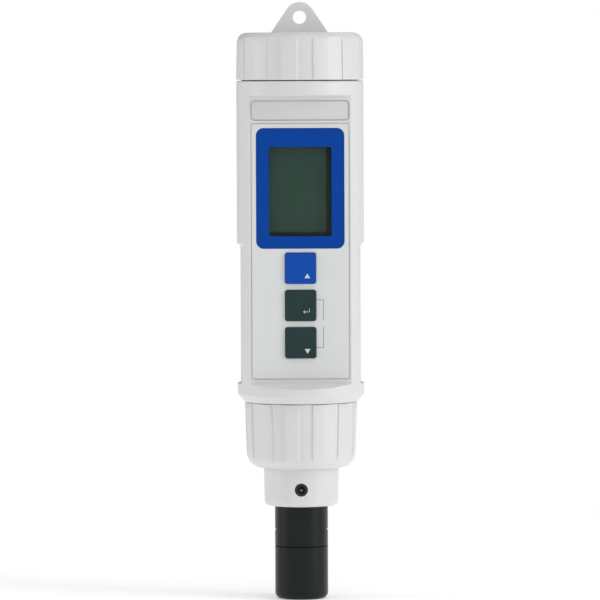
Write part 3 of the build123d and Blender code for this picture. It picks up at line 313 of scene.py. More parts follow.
@dataclass(frozen=True)
class Film(Finish):
    """Matt printed film with a fine screen grain, and a darker line just inside its sides that is painted
    shade of the seam groove round the sheet.
    """

    # edge is the colour of the painted shade of the seam groove, and line is that painted line's width.
    edge: Colour
    centre: Point
    half: Point
    line: float = 0.20 * MM
    roughness: float = 0.38

    def inputs(self, shader: Shader) -> dict[str, object]:
        """Paint the seam groove's shade as a darker line just inside the sheet's sides.

        Args:
            shader: The tree for the pattern's nodes.

        Returns:
            The Principled shader's inputs.
        """
        x, _, z = shader.axes()
        beside = (x - self.centre[0]).size() - self.half[0]
        above = (z - self.centre[1]).size() - self.half[1]
        depth = beside.math("MAXIMUM", above) * -1.0
        # Painted shade of the seam groove, as a darker line just inside the sheet's sides.
        seam_shade = 1.0 - depth.ramp(self.line * 0.5, self.line * 1.8)
        grain = shader.noise(5200.0)
        base = shader.drifted(shader.noise(30.0), self.colour, 0.98, 1.02)
        seam_shaded = shader.mix(seam_shade * 0.8, base, self.edge)
        return {
            "Base Color": shader.speckled(seam_shaded, grain, 0.03),
            "Roughness": (grain - 0.5) * 0.14 + self.roughness,
            "Normal": shader.bump(grain, 0.006 * MM, 0.5)}


@dataclass(frozen=True)
class Metal(Finish):
    """Turned or drawn metal, with fine lines across the turning direction."""

    roughness: float = 0.3
    lines: tuple[float, float, float] = (60.0, 60.0, 6000.0)
    line_depth: float = 0.004 * MM

    def inputs(self, shader: Shader) -> dict[str, object]:
        """Draw fine lines, and stain the metal a little.

        Args:
            shader: The tree for the pattern's nodes.

        Returns:
            The Principled shader's inputs.
        """
        lines = shader.noise(1.0, at=shader.stretched(self.lines))
        stain = shader.noise(220.0, 4.0)
        return {
            "Base Color": shader.drifted(stain, self.colour, 0.88, 1.06),
            "Metallic": 1.0,
            "Roughness": (lines - 0.5) * 0.18 + (stain - 0.5) * 0.16 + self.roughness,
            "Normal": shader.bump(lines, self.line_depth, 0.5)}


@dataclass(frozen=True)
class Rubber(Finish):
    """Matt rubber with a dusty bloom."""

    def inputs(self, shader: Shader) -> dict[str, object]:
        """Lift the colour where the bloom lies.

        Args:
            shader: The tree for the pattern's nodes.

        Returns:
            The Principled shader's inputs.
        """
        bloom = shader.noise(420.0, 4.0)
        return {
            "Base Color": shader.mix(bloom, self.colour, _lifted(self.colour, 0.015)),
            "Roughness": bloom * 0.2 + 0.55,
            "Normal": shader.bump(shader.noise(4200.0), 0.010 * MM, 0.5)}


@dataclass(frozen=True)
class Circuit(Finish):
    """Solder-masked board with copper tracks showing as slightly raised lines."""

    track: Colour

    def inputs(self, shader: Shader) -> dict[str, object]:
        """Lay upright lanes and level rows of track on the mask.

        Args:
            shader: The tree for the pattern's nodes.

        Returns:
            The Principled shader's inputs.
        """
        x, _, z = shader.axes()
        lanes = (x * 900.0 + (shader.noise(120.0, 1.0) - 0.5) * 1.5).math("FRACT")
        rows = (z * 420.0).math("FRACT")
        tracks = (lanes < 0.3).math("MAXIMUM", rows < 0.16)
        weave = shader.noise(2800.0)
        return {
            "Base Color": shader.speckled(shader.mix(tracks, self.colour, self.track), weave, 0.1),
            "Roughness": weave * 0.1 + 0.3,
            "Normal": shader.bump(tracks, 0.02 * MM, 0.4)}


@dataclass(frozen=True)
class ClearSheet(Finish):
    """Clear acrylic or film, faintly tinted, with tiny surface waviness."""

    opacity: float
    roughness: float = 0.06

    def inputs(self, shader: Shader) -> dict[str, object]:
        """Put slight waves and a little dust on the sheet.

        Args:
            shader: The tree for the pattern's nodes.

        Returns:
            The Principled shader's inputs.
        """
        dust = shader.noise(1500.0, 3.0).ramp(0.62, 0.8)
        return {
            "Base Color": self.colour,
            "Roughness": dust * 0.10 + self.roughness,
            "Specular IOR Level": 0.25,
            "Alpha": dust * 0.02 + self.opacity,
            "IOR": 1.49,
            "Normal": shader.bump(shader.noise(90.0), 0.03 * MM, 0.15)}


@dataclass(frozen=True)
class LiquidCrystal(Finish):
    """The display, off: a grey-green polariser, with painted shadow of the window's edge as a darker band
    at its right and foot.
    """

    # The colour of the painted shadow that the window's edge casts on the display.
    painted_shadow_colour: Colour
    centre: Point
    half: Point
    shadow_side_band: Point = (1.9 * MM, 1.5 * MM)
    shadow_foot_band: Point = (1.1 * MM, 1.5 * MM)

    def inputs(self, shader: Shader) -> dict[str, object]:
        """Fade the polariser into the painted shadow band at its right and foot.

        Args:
            shader: The tree for the pattern's nodes.

        Returns:
            The Principled shader's inputs.
        """
        x, _, z = shader.axes()
        right, foot = self.half[0], -self.half[1]
        # Painted shadow of the window's edge, along the display's right side and its foot.
        beside = (x - self.centre[0]).ramp(right - self.shadow_side_band[0], right - self.shadow_side_band[1])
        below = 1.0 - (z - self.centre[1]).ramp(foot + self.shadow_foot_band[0], foot + self.shadow_foot_band[1])
        drift = shader.noise(60.0)
        grain = shader.noise(4200.0)
        base = shader.drifted(drift, self.colour, 0.94, 1.06)
        shadowed = shader.mix(beside.math("MAXIMUM", below), base, self.painted_shadow_colour)
        return {
            "Base Color": shader.speckled(shadowed, grain, 0.05),
            "Roughness": (drift - 0.5) * 0.08 + 0.30,
            "Specular IOR Level": 0.15,
            "Normal": shader.bump(grain, 0.002 * MM, 0.4)}


@dataclass(frozen=True)
class CellJacket(Finish):
    """A battery cell's plain printed jacket, with a bright band at its upper end."""

    band: Colour
    band_low: float

    def inputs(self, shader: Shader) -> dict[str, object]:
        """Print the band, and scuff the jacket lengthways.

        Args:
            shader: The tree for the pattern's nodes.

        Returns:
            The Principled shader's inputs.
        """
        _, _, z = shader.axes()
        scuffs = shader.noise(900.0, 4.0, shader.stretched((1.0, 1.0, 0.15)))
        colour = shader.mix(z > self.band_low, self.colour, self.band)
        return {
            "Base Color": shader.shade(colour, 1.0 - scuffs.ramp(0.6, 0.8) * 0.15),
            "Metallic": 0.55,
            "Roughness": scuffs * 0.2 + 0.25,
            "Normal": shader.bump(scuffs, 0.006 * MM, 0.3)}


def _front(node: str) -> tuple[Point, Point]:
    """Give the middle of a CAD node as seen from the front, and half its width and height."""
    low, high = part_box(node)
    return ((low.x + high.x) / 2, (low.z + high.z) / 2), ((high.x - low.x) / 2, (high.z - low.z) / 2)


class Finishes:
    """Every finish of the pen, by the record's material slot."""

    DISPLAY_HALF = (9.9 * MM, 14.1 * MM)
    CELL_BAND = 9.0 * MM

    def __init__(self) -> None:
        """Make the materials around the frame's own places."""
        cell_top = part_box("battery_cell_1")[1].z
        finishes = [
            Moulding("white_plastic", srgb(222, 222, 221), roughness=0.40, drift=0.008),
            # Each film's second colour is painted shade of the seam groove round it.
            Film("face_film", srgb(222, 225, 224), srgb(186, 190, 190), *_front("faceplate")),
            Film("plate_pale", srgb(221, 220, 219), srgb(184, 185, 186), *_front("blank_plate")),
            # The display's second colour is painted shadow of the window's edge.
            LiquidCrystal("lcd_glass", srgb(47, 72, 62), srgb(22, 36, 31), _front("lcd_panel")[0],
                          self.DISPLAY_HALF),
            Moulding("probe_black", srgb(25, 31, 29), roughness=0.30, grain=3200.0,
                     grain_depth=0.004 * MM, drift=0.08, specular=0.18),
            Moulding("bezel_blue", srgb(0, 66, 158), roughness=0.38, grain=5200.0, grain_depth=0.004 * MM,
                     specular=0.12),
            ClearSheet("window_clear", (0.10, 0.14, 0.12), 0.05),
            Moulding("key_blue", srgb(0, 74, 172), roughness=0.42, grain=3600.0, drift=0.05, specular=0.2),
            Moulding("key_dark", srgb(34, 56, 56), roughness=0.42, grain=3600.0, drift=0.05, specular=0.25),
            Metal("plated_pins", (0.83, 0.66, 0.35), 0.28),
            Metal("spring_strip", (0.75, 0.75, 0.74), 0.30),
            Circuit("board_green", srgb(24, 92, 58), srgb(36, 118, 72)),
            Moulding("chip_black", srgb(38, 38, 40), roughness=0.55, grain=6000.0),
            Metal("can_metal", (0.78, 0.78, 0.79), 0.34),
            Metal("screw_steel", (0.62, 0.62, 0.63), 0.32),
            Moulding("chassis_grey", srgb(205, 205, 200), roughness=0.5),
            CellJacket("cell_jacket", srgb(60, 66, 72), srgb(190, 150, 88), cell_top - self.CELL_BAND),
            Moulding("socket_black", srgb(44, 44, 44), roughness=0.5),
            Rubber("seal_rubber", srgb(38, 38, 38)),
            Rubber("bush_black", srgb(20, 20, 21)),
            Metal("tip_steel", (0.16, 0.16, 0.17), 0.30),
            Moulding("rod_resin", srgb(206, 198, 170), roughness=0.25),
            Metal("cathode_gold", (0.90, 0.72, 0.38), 0.12),
            Metal("anode_silver", (0.80, 0.80, 0.80), 0.30),
            ClearSheet("membrane_film", (0.9, 0.9, 0.9), 0.55, 0.3),
            Moulding("ring_white", srgb(228, 228, 224), roughness=0.45),
            Moulding("mark_pale", srgb(206, 214, 216), roughness=0.45),
            Moulding("mark_grey", srgb(96, 100, 102), roughness=0.45),
        ]
        self.materials = {finish.name: finish.build() for finish in finishes}

    def dress(self, piece: bpy.types.Object, name: str) -> None:
        """Give a piece one material all over."""
        piece.data.materials.clear()
        piece.data.materials.append(self.materials[name])

    def dress_nodes(self) -> None:
        """Give every CAD node the material of its slot."""
        for part in frame["record"]["subparts"]:
            node = frame["nodes"][part["node"]]
            for slot in node.material_slots:
                slot.material = self.materials[part["material_slot"]]


class Side(Enum):
    """Which way a thread ridge stands from its wall."""

    OUT = 1
    IN = -1


class Bench:
    """Blender's own modelling tools, used on one piece at a time."""

    @staticmethod
    def clear() -> None:
        """Leave edit mode and deselect everything."""
        if bpy.context.object and bpy.context.object.mode != "OBJECT":
            bpy.ops.object.mode_set(mode="OBJECT")
        bpy.ops.object.select_all(action="DESELECT")

    @staticmethod
    def take(piece: bpy.types.Object) -> None:
        """Make one piece the only one selected and active.

        Args:
            piece: The piece.
        """
        Bench.clear()
        piece.select_set(True)
        bpy.context.view_layer.objects.active = piece

    @staticmethod
    def named(name: str) -> bpy.types.Object:
        """Name the new piece and settle its place into its mesh.

        Args:
            name: The name of the piece and its mesh.

        Returns:
            The piece, in object mode.
        """
        piece = bpy.context.object
        piece.name = name
        piece.data.name = name
        bpy.ops.object.transform_apply(location=True, rotation=True, scale=True)
        return piece

    @staticmethod
    def edit(piece: bpy.types.Object, action: str = "DESELECT") -> None:
        """Enter edit mode on one piece.

        Args:
            piece: The piece.
            action: DESELECT to start with nothing selected, or SELECT with everything.
        """
        Bench.take(piece)
        bpy.ops.object.mode_set(mode="EDIT")
        bpy.ops.mesh.select_all(action=action)

    @staticmethod
    def pick(piece: bpy.types.Object, wanted: Callable[[Vector], bool], kind: str = "VERT") -> None:
        """Select the vertices, or the edges or faces by their middle, that pass a test.

        Args:
            piece: The piece in edit mode.
            wanted: The test on a place.
            kind: VERT, EDGE or FACE.
        """
        bpy.ops.mesh.select_mode(type=kind)
        bpy.ops.mesh.select_all(action="DESELECT")
        shape = bmesh.from_edit_mesh(piece.data)
        for part in {"VERT": shape.verts, "EDGE": shape.edges, "FACE": shape.faces}[kind]:
            corners = [part.co] if kind == "VERT" else [vert.co for vert in part.verts]
            if wanted(sum(corners, Vector()) / len(corners)):
                part.select_set(True)
        shape.select_flush_mode()
        bmesh.update_edit_mesh(piece.data)

    @staticmethod
    def pick_rims(wires: bool) -> None:
        """Select the open rims of the piece in edit mode, and with wires, edges that have no face."""
        bpy.ops.mesh.select_non_manifold(extend=False, use_wire=wires, use_boundary=True,
                                         use_multi_face=False, use_non_contiguous=False, use_verts=False)

    @staticmethod
    def modify(piece: bpy.types.Object, kind: str, **settings: object) -> None:
        """Add a modifier and apply it.

        Args:
            piece: The piece.
            kind: The modifier's type.
            settings: Attributes set on the modifier.
        """
        Bench.take(piece)
        modifier = piece.modifiers.new(kind.lower(), kind)
        for key, value in settings.items():
            setattr(modifier, key, value)
        bpy.ops.object.modifier_apply(modifier=modifier.name)

    @staticmethod
    def cut(piece: bpy.types.Object, tool: bpy.types.Object) -> None:
        """Cut a tool's shape out of a piece and throw the tool away."""
        Bench.modify(piece, "BOOLEAN", object=tool, operation="DIFFERENCE", solver="EXACT")
        bpy.data.objects.remove(tool, do_unlink=True)

    @staticmethod
    def soften(piece: bpy.types.Object, width: float, segments: int = 2) -> None:
        """Round every sharp edge a little."""
        Bench.modify(piece, "BEVEL", width=width, segments=segments, limit_method="ANGLE",
                     angle_limit=SHARP_ANGLE, use_clamp_overlap=True, miter_outer="MITER_ARC")

    @staticmethod
    def close(piece: bpy.types.Object, angle: float = SMOOTH_ANGLE) -> bpy.types.Object:
        """Merge doubles, point the faces outwards and shade the piece smooth.

        Args:
            piece: The piece.
            angle: The sharpest edge, in radians, that is shaded smooth.

        Returns:
            The piece, in object mode.
        """
        Bench.edit(piece, "SELECT")
        bpy.ops.mesh.remove_doubles(threshold=DOUBLE)
        bpy.ops.mesh.normals_make_consistent(inside=False)
        bpy.ops.object.mode_set(mode="OBJECT")
        bpy.ops.object.shade_smooth_by_angle(angle=angle)
        return piece

    @staticmethod
    def lathe(name: str, profile: Sequence[Point], segments: int, joined: bool) -> bpy.types.Object:
        """Draw a ring out along a profile, one extrusion for each point.

        Args:
            name: The piece's name.
            profile: Points of (radius, height), in order round the section.
            segments: How many faces go round.
            joined: True bridges the last ring to the first, and False closes both with a face.

        Returns:
            The piece, in object mode.
        """
        Bench.clear()
        radius, height = profile[0]
        bpy.ops.mesh.primitive_circle_add(
            vertices=segments, radius=radius, location=(0, 0, height),
            fill_type="NOTHING" if joined else "NGON")
        piece = Bench.named(name)
        Bench.edit(piece)
        bpy.ops.mesh.select_mode(type="EDGE")
        bpy.ops.mesh.select_all(action="SELECT")
        for (radius_a, z_a), (radius_b, z_b) in zip(profile, profile[1:]):
            bpy.ops.mesh.extrude_edges_move(TRANSFORM_OT_translate={"value": (0, 0, z_b - z_a)})
            factor = radius_b / radius_a
            bpy.ops.transform.resize(value=(factor, factor, 1), center_override=(0, 0, z_b))
        if joined:
            bpy.ops.mesh.select_all(action="DESELECT")
            Bench.pick_rims(wires=True)
            bpy.ops.mesh.bridge_edge_loops()
        else:
            bpy.ops.mesh.edge_face_add()
        bpy.ops.object.mode_set(mode="OBJECT")
        return piece

    @staticmethod
    def rod(name: str, radius: float, ends: Point, x: float, z: float,
            segments: int = SMALL_SEGMENTS) -> bpy.types.Object:
        """Add a round bar that runs from front to back.

        Args:
            name: The bar's name.
            radius: Its radius.
            ends: Its front and back, along Y.
            x: Where its axis is across.
            z: Where its axis is upwards.
            segments: How many faces go round.

        Returns:
            The bar, in object mode.
        """
        Bench.clear()
        bpy.ops.mesh.primitive_cylinder_add(
            vertices=segments, radius=radius, depth=ends[1] - ends[0],
            location=(x, (ends[0] + ends[1]) / 2, z), rotation=(math.pi / 2, 0, 0))
        return Bench.named(name)

    @staticmethod
    def slab(name: str, low: Sequence[float], high: Sequence[float]) -> bpy.types.Object:
        """Add a block between two corners, to be shaped further.

        Args:
            name: The block's name.
            low: Its lowest corner.
            high: Its highest corner.

        Returns:
            The block, in object mode.
        """
        Bench.clear()
        start, end = Vector(low), Vector(high)
        bpy.ops.mesh.primitive_cube_add(size=1, location=(start + end) / 2, scale=end - start)
        return Bench.named(name)

    @staticmethod
    def join(piece: bpy.types.Object, others: Iterable[bpy.types.Object]) -> bpy.types.Object:
        """Join other pieces into the first one.

        Args:
            piece: The piece that stays.
            others: The pieces that go into it.

        Returns:
            The piece that stays.
        """
        Bench.take(piece)
        for other in others:
            other.select_set(True)
        bpy.ops.object.join()
        return piece


def arc(centre: Point, radii: Point, start: float, end: float, steps: int) -> list[Point]:
    """List the points of a rounding, from one angle to another in degrees."""
    angles = [math.radians(start + (end - start) * step / steps) for step in range(steps + 1)]
    return [(centre[0] + radii[0] * math.cos(a), centre[1] + radii[1] * math.sin(a)) for a in angles]


@dataclass(frozen=True)
class Thread:
    """A right-hand thread: a ridge of trapezium section on a neck or in a bore.

    Its foot and crest are shares of the pitch, half as wide as the ridge is there. An inner
    thread starts at the other side of the axis from an outer one.
    """

    radius: float
    side: Side
    turns: float
    height: float
    pitch: float = 3 * MM
    foot: float = 0.24
    crest: float = 0.11
    bury: float = 0.15 * MM
    steps_per_turn: int = 96

    def wind(self, name: str, low: float) -> bpy.types.Object:
        """Wind the ridge from a small upright plane.

        Args:
            name: The ridge's name.
            low: The height of its start.

        Returns:
            The ridge, in object mode.
        """
        Bench.clear()
        bpy.ops.mesh.primitive_plane_add(size=1, location=(0, 0, 0), rotation=(math.pi / 2, 0, 0))
        ridge = Bench.named(name)
        Bench.edit(ridge)
        for inner in (False, True):
            Bench.pick(ridge, lambda co: (co.x < 0) == inner)
            half = self.pitch * (self.foot if inner else self.crest)
            x = self.radius + self.side.value * (-self.bury if inner else self.height)
            bpy.ops.transform.resize(value=(1, 1, 2 * half), center_override=(0, 0, 0))
            bpy.ops.transform.translate(value=(x + (0.5 if inner else -0.5), 0, low))
        bpy.ops.mesh.select_all(action="SELECT")
        start = math.pi if self.side is Side.IN else 0.0
        bpy.ops.transform.rotate(value=-start, orient_axis="Z", center_override=(0, 0, 0))
        bpy.ops.mesh.delete(type="ONLY_FACE")
        bpy.ops.object.mode_set(mode="OBJECT")
        steps = int(self.steps_per_turn * self.turns)
        Bench.modify(ridge, "SCREW", axis="Z", screw_offset=self.pitch * self.turns,
                     angle=2 * math.pi * self.turns, steps=steps, render_steps=steps,
                     use_merge_vertices=False, use_smooth_shade=True)
        Bench.edit(ridge)
        bpy.ops.mesh.select_mode(type="EDGE")
        Bench.pick_rims(wires=False)
        bpy.ops.mesh.edge_face_add()
        return Bench.close(ridge)


@dataclass(frozen=True)
class Flutes:
    """Shallow grip recesses, evenly spaced round a moulded wall. Their angles are in degrees.

    The margin is the share of a flank left free beside a recess's floor, and the level is how
    near in height a place has to be to count as on a ring.
    """

    depth: float = 0.45 * MM
    count: int = 12
    width: float = 15.0
    phase: float = -85.0
    flank: float = 0.45
    margin: float = 0.8
    level: float = 0.004 * MM
    edge: float = 0.07 * MM

    def shoulder(self, wall: Callable[[float], float], end: float, size: float,
                 steps: int) -> list[Point]:
        """List the points of a wall's rounding, with one more where a recess's floor runs out.

        Args:
            wall: The outer wall's radius at a height.
            end: The height of the wall's end.
            size: The rounding's height, below zero at a lower end.
            steps: How many steps the rounding has.

        Returns:
            Points of (radius, height), from the wall to its end.
        """
        start = end - size
        centre = wall(end) - abs(size)
        reach = wall(start) - centre
        cross = math.degrees(math.acos((wall(end) - self.depth - centre) / reach))
        angles = sorted([cross] + [90 * step / steps for step in range(steps + 1)])
        return [(centre + reach * math.cos(math.radians(a)), start + size * math.sin(math.radians(a)))
                for a in angles]

    def sink(self, piece: bpy.types.Object, rings: Sequence[Point], wall: Callable[[float], float]) -> None:
        """Push each ring's recess columns in to the recesses' floors.

        Args:
            piece: The piece in edit mode.
            rings: The (radius, height) of each ring that a recess may reach.
            wall: The outer wall's radius at a height.
        """
        self._narrow_flanks(piece)
        for radius, height in rings:
            floor = wall(height) - self.depth
            if radius > floor:
                Bench.pick(piece, lambda co: self._on_ring(co, radius, height))
                factor = floor / radius
                bpy.ops.transform.resize(value=(factor, factor, 1), center_override=(0, 0, height))

    def _narrow_flanks(self, piece: bpy.types.Object) -> None:
        """Draw the columns next to each recess's sides close to them."""
        step = 360 / RING_SEGMENTS
        for sign in (-1, 1):
            inner = sign * (self.width / 2 - step)
            Bench.pick(piece, lambda co: self._near(co, inner, step / 4))
            turn = math.radians(sign * (step - self.flank))
            bpy.ops.transform.rotate(value=-turn, orient_axis="Z", center_override=(0, 0, 0))

    def _on_ring(self, co: Vector, radius: float, height: float) -> bool:
        """Tell whether a place is on a ring and within a recess."""
        return (abs(co.z - height) < self.level and abs(math.hypot(co.x, co.y) - radius) < TOUCH
                and self._near(co, 0.0, self.width / 2 - self.flank * self.margin))

    def _near(self, co: Vector, offset: float, reach: float) -> bool:
        """Tell whether a place is within reach of an offset from a recess's middle.

        Args:
            co: The place.
            offset: The offset, in degrees round the axis.
            reach: The reach, in degrees.

        Returns:
            True within reach.
        """
        pitch = 360 / self.count
        angle = math.degrees(math.atan2(co.y, co.x)) - self.phase - offset
        return abs((angle + pitch / 2) % pitch - pitch / 2) < reach


@dataclass
class Part:
    """One sub-assembly: it models its pieces, dresses them and sets them on their bodies."""

    finishes: Finishes

    def build(self) -> None:
        """Leave the modelling to each sub-assembly."""
        raise NotImplementedError

    def settle(self, piece: bpy.types.Object, body: str, slot: str, material: str | None = None,
               replaces: Sequence[str] = ()) -> None:
        """Dress a finished piece and let it ride on its body.

        Args:
            piece: The piece, in its place.
            body: The CAD body that it moves with.
            slot: The record's material slot.
            material: The finish, if it isn't the slot's own.
            replaces: The CAD nodes that it stands for.
        """
        self.finishes.dress(piece, material or slot)
        if replaces:
            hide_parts(*replaces)
        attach(piece, body)
        LOG.info("%s rides on %s", piece.name, body)


@dataclass
class BatteryCap(Part):
    """The fluted screw cap with its hanging eye. The eye's lean is in degrees."""

    round: float = 3.2 * MM
    round_steps: int = 9
    taper: float = 0.3 * MM
    foot_radius: float = 20.302 * MM
    foot_chamfer: float = 0.4 * MM
    first_ring: float = 0.12 * MM
    ring_shares: tuple[float, ...] = (0.12, 0.3, 0.5, 0.68)
    height: float = 15.0 * MM
    top_wall: float = 2.0 * MM
    top_inset: float = 1.2 * MM
    bore: float = 18.3 * MM
    seal_room: float = 19.1 * MM
    seal_height: float = 1.8 * MM
    seal_slope: float = 0.1 * MM
    groove_depth: float = 0.5 * MM
    groove_play: float = 0.05 * MM
    thread_low: float = 3.6 * MM
    eye_radius: float = 4.8 * MM
    eye_segments: int = 96
    eye_bore: float = 2.1 * MM
    eye_thickness: float = 3.0 * MM
    eye_lean: float = 34.0
    eye_sink: float = 1.0 * MM
    eye_edge: float = 0.22 * MM
    flutes: Flutes = Flutes()

    def __post_init__(self) -> None:
        """Read the cap's heights from the frame."""
        low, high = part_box("battery_cap")
        self.bottom = low.z
        self.top = low.z + self.height
        self.eye_centre = high.z - self.eye_radius

    def build(self) -> None:
        """Model the cap, its eye and its inner thread."""
        cap = self._shell()
        eye = self._eye()
        thread = Thread(self.bore, Side.IN, turns=1.6, height=0.5 * MM)
        ridge = thread.wind("cap_inner_thread", self.bottom + self.thread_low)
        cap = Bench.join(cap, [eye, ridge])
        self.settle(cap, "battery_cap", "white_plastic", replaces=["battery_cap"])

    def wall(self, height: float) -> float:
        """Give the outer wall's radius over the lands at a height."""
        return self.foot_radius - self.taper * (height - self.bottom) / self.height

    def _shell(self) -> bpy.types.Object:
        """Draw the fluted shell.

        Returns:
            The shell, in object mode.
        """
        levels = [self.bottom + self.foot_chamfer + self.first_ring]
        levels += [self.bottom + share * self.height for share in self.ring_shares]
        outer = [(self.foot_radius - self.foot_chamfer, self.bottom),
                 (self.wall(self.bottom), self.bottom + self.foot_chamfer)]
        outer += [(self.wall(z), z) for z in levels]
        outer += self.flutes.shoulder(self.wall, self.top, self.round, self.round_steps)
        cap = Bench.lathe("cap_shell", self._inside() + outer, RING_SEGMENTS, joined=False)
        Bench.edit(cap)
        self.flutes.sink(cap, outer, self.wall)
        Bench.pick(cap, lambda co: co.z > self.top - TOUCH, "FACE")
        bpy.ops.mesh.inset(thickness=self.top_inset, depth=0)
        Bench.soften(cap, self.flutes.edge)
        return Bench.close(cap)

    def _inside(self) -> list[Point]:
        """List the inside's points, from the ceiling past the snap ring's groove to the foot.

        Returns:
            Points of (radius, height).
        """
        ceiling = self.top - self.top_wall
        ring_low, ring_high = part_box("snap_ring")
        snap_low, snap_high = ring_low.z - self.groove_play, ring_high.z + self.groove_play
        groove = self.bore + self.groove_depth
        seal = self.bottom + self.seal_height
        return [(self.bore, ceiling), (self.bore, snap_high), (groove, snap_high), (groove, snap_low),
                (self.bore, snap_low), (self.bore, seal), (self.seal_room, seal - self.seal_slope),
                (self.seal_room, self.bottom)]

    def _eye(self) -> bpy.types.Object:
        """Shape the flat tab from a disc and drill its eye.

        Returns:
            The tab, in object mode.
        """
        lean = math.radians(self.eye_lean)
        foot = self.top - self.eye_sink
        foot_half = (self.eye_radius + (self.eye_centre - foot) * math.sin(lean)) / math.cos(lean)
        tangent = self.eye_centre + self.eye_radius * math.sin(lean)
        ends = (-self.eye_thickness / 2, self.eye_thickness / 2)
        eye = Bench.rod("cap_eye", self.eye_radius, ends, 0, self.eye_centre, self.eye_segments)
        Bench.edit(eye)
        Bench.pick(eye, lambda co: co.z < tangent - 2 * TOUCH)
        bpy.ops.transform.resize(value=(1, 1, 0), center_override=(0, 0, foot))
        for side in (-1, 1):
            Bench.pick(eye, lambda co: co.z < foot + TOUCH and co.x * side > TOUCH)
            bpy.ops.transform.resize(value=(0, 1, 1), center_override=(side * foot_half, 0, foot))
        Bench.close(eye)
        through = (-self.eye_thickness, self.eye_thickness)
        Bench.cut(eye, Bench.rod("eye_drill", self.eye_bore, through, 0, self.eye_centre))
        Bench.soften(eye, self.eye_edge, 3)
        return Bench.close(eye)


@dataclass
class CouplingNut(Part):
    """The fluted nut with a round shoulder."""

    head_radius: float = 17.9 * MM
    foot_radius: float = 17.2 * MM
    round: float = 4.8 * MM
    round_steps: int = 10
    ring_shares: tuple[float, ...] = (0.3, 0.5, 0.7, 0.86)
    mouth: float = 12.15 * MM
    mouth_chamfer: float = 0.15 * MM
    bore: float = 15.2 * MM
    floor: float = 7.9 * MM
    lip: float = 0.25 * MM
    thread_low: float = 5.2 * MM
    flutes: Flutes = Flutes()

    def __post_init__(self) -> None:
        """Read the nut's heights from the frame."""
        low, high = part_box("coupling_nut")
        self.bottom, self.top = low.z, high.z

    def build(self) -> None:
        """Model the nut and its inner thread."""
        shelf = self.bottom + self.floor
        levels = [self.bottom + share * (self.top - self.bottom) for share in self.ring_shares]
        outer = self.flutes.shoulder(self.wall, self.bottom, -self.round, self.round_steps)[::-1]
        outer += [(self.wall(z), z) for z in levels]
        outer += [(self.head_radius, self.top - self.lip), (self.head_radius - self.lip, self.top)]
        inside = [(self.bore, self.top), (self.bore, shelf), (self.mouth, shelf),
                  (self.mouth, self.bottom + self.mouth_chamfer),
                  (self.mouth + self.mouth_chamfer, self.bottom)]
        nut = Bench.lathe("nut_shell", inside + outer, RING_SEGMENTS, joined=True)
        Bench.edit(nut)
        self.flutes.sink(nut, outer, self.wall)
        Bench.soften(nut, self.flutes.edge)
        Bench.close(nut)
        thread = Thread(self.bore, Side.IN, turns=2.2, height=0.2 * MM)
        nut = Bench.join(nut, [thread.wind("nut_inner_thread", shelf + self.thread_low)])
        self.settle(nut, "coupling_nut", "white_plastic", replaces=["coupling_nut"])

    def wall(self, height: float) -> float:
        """Give the outer wall's radius over the lands at a height."""
        share = (height - self.bottom) / (self.top - self.bottom)
        return self.foot_radius + (self.head_radius - self.foot_radius) * share


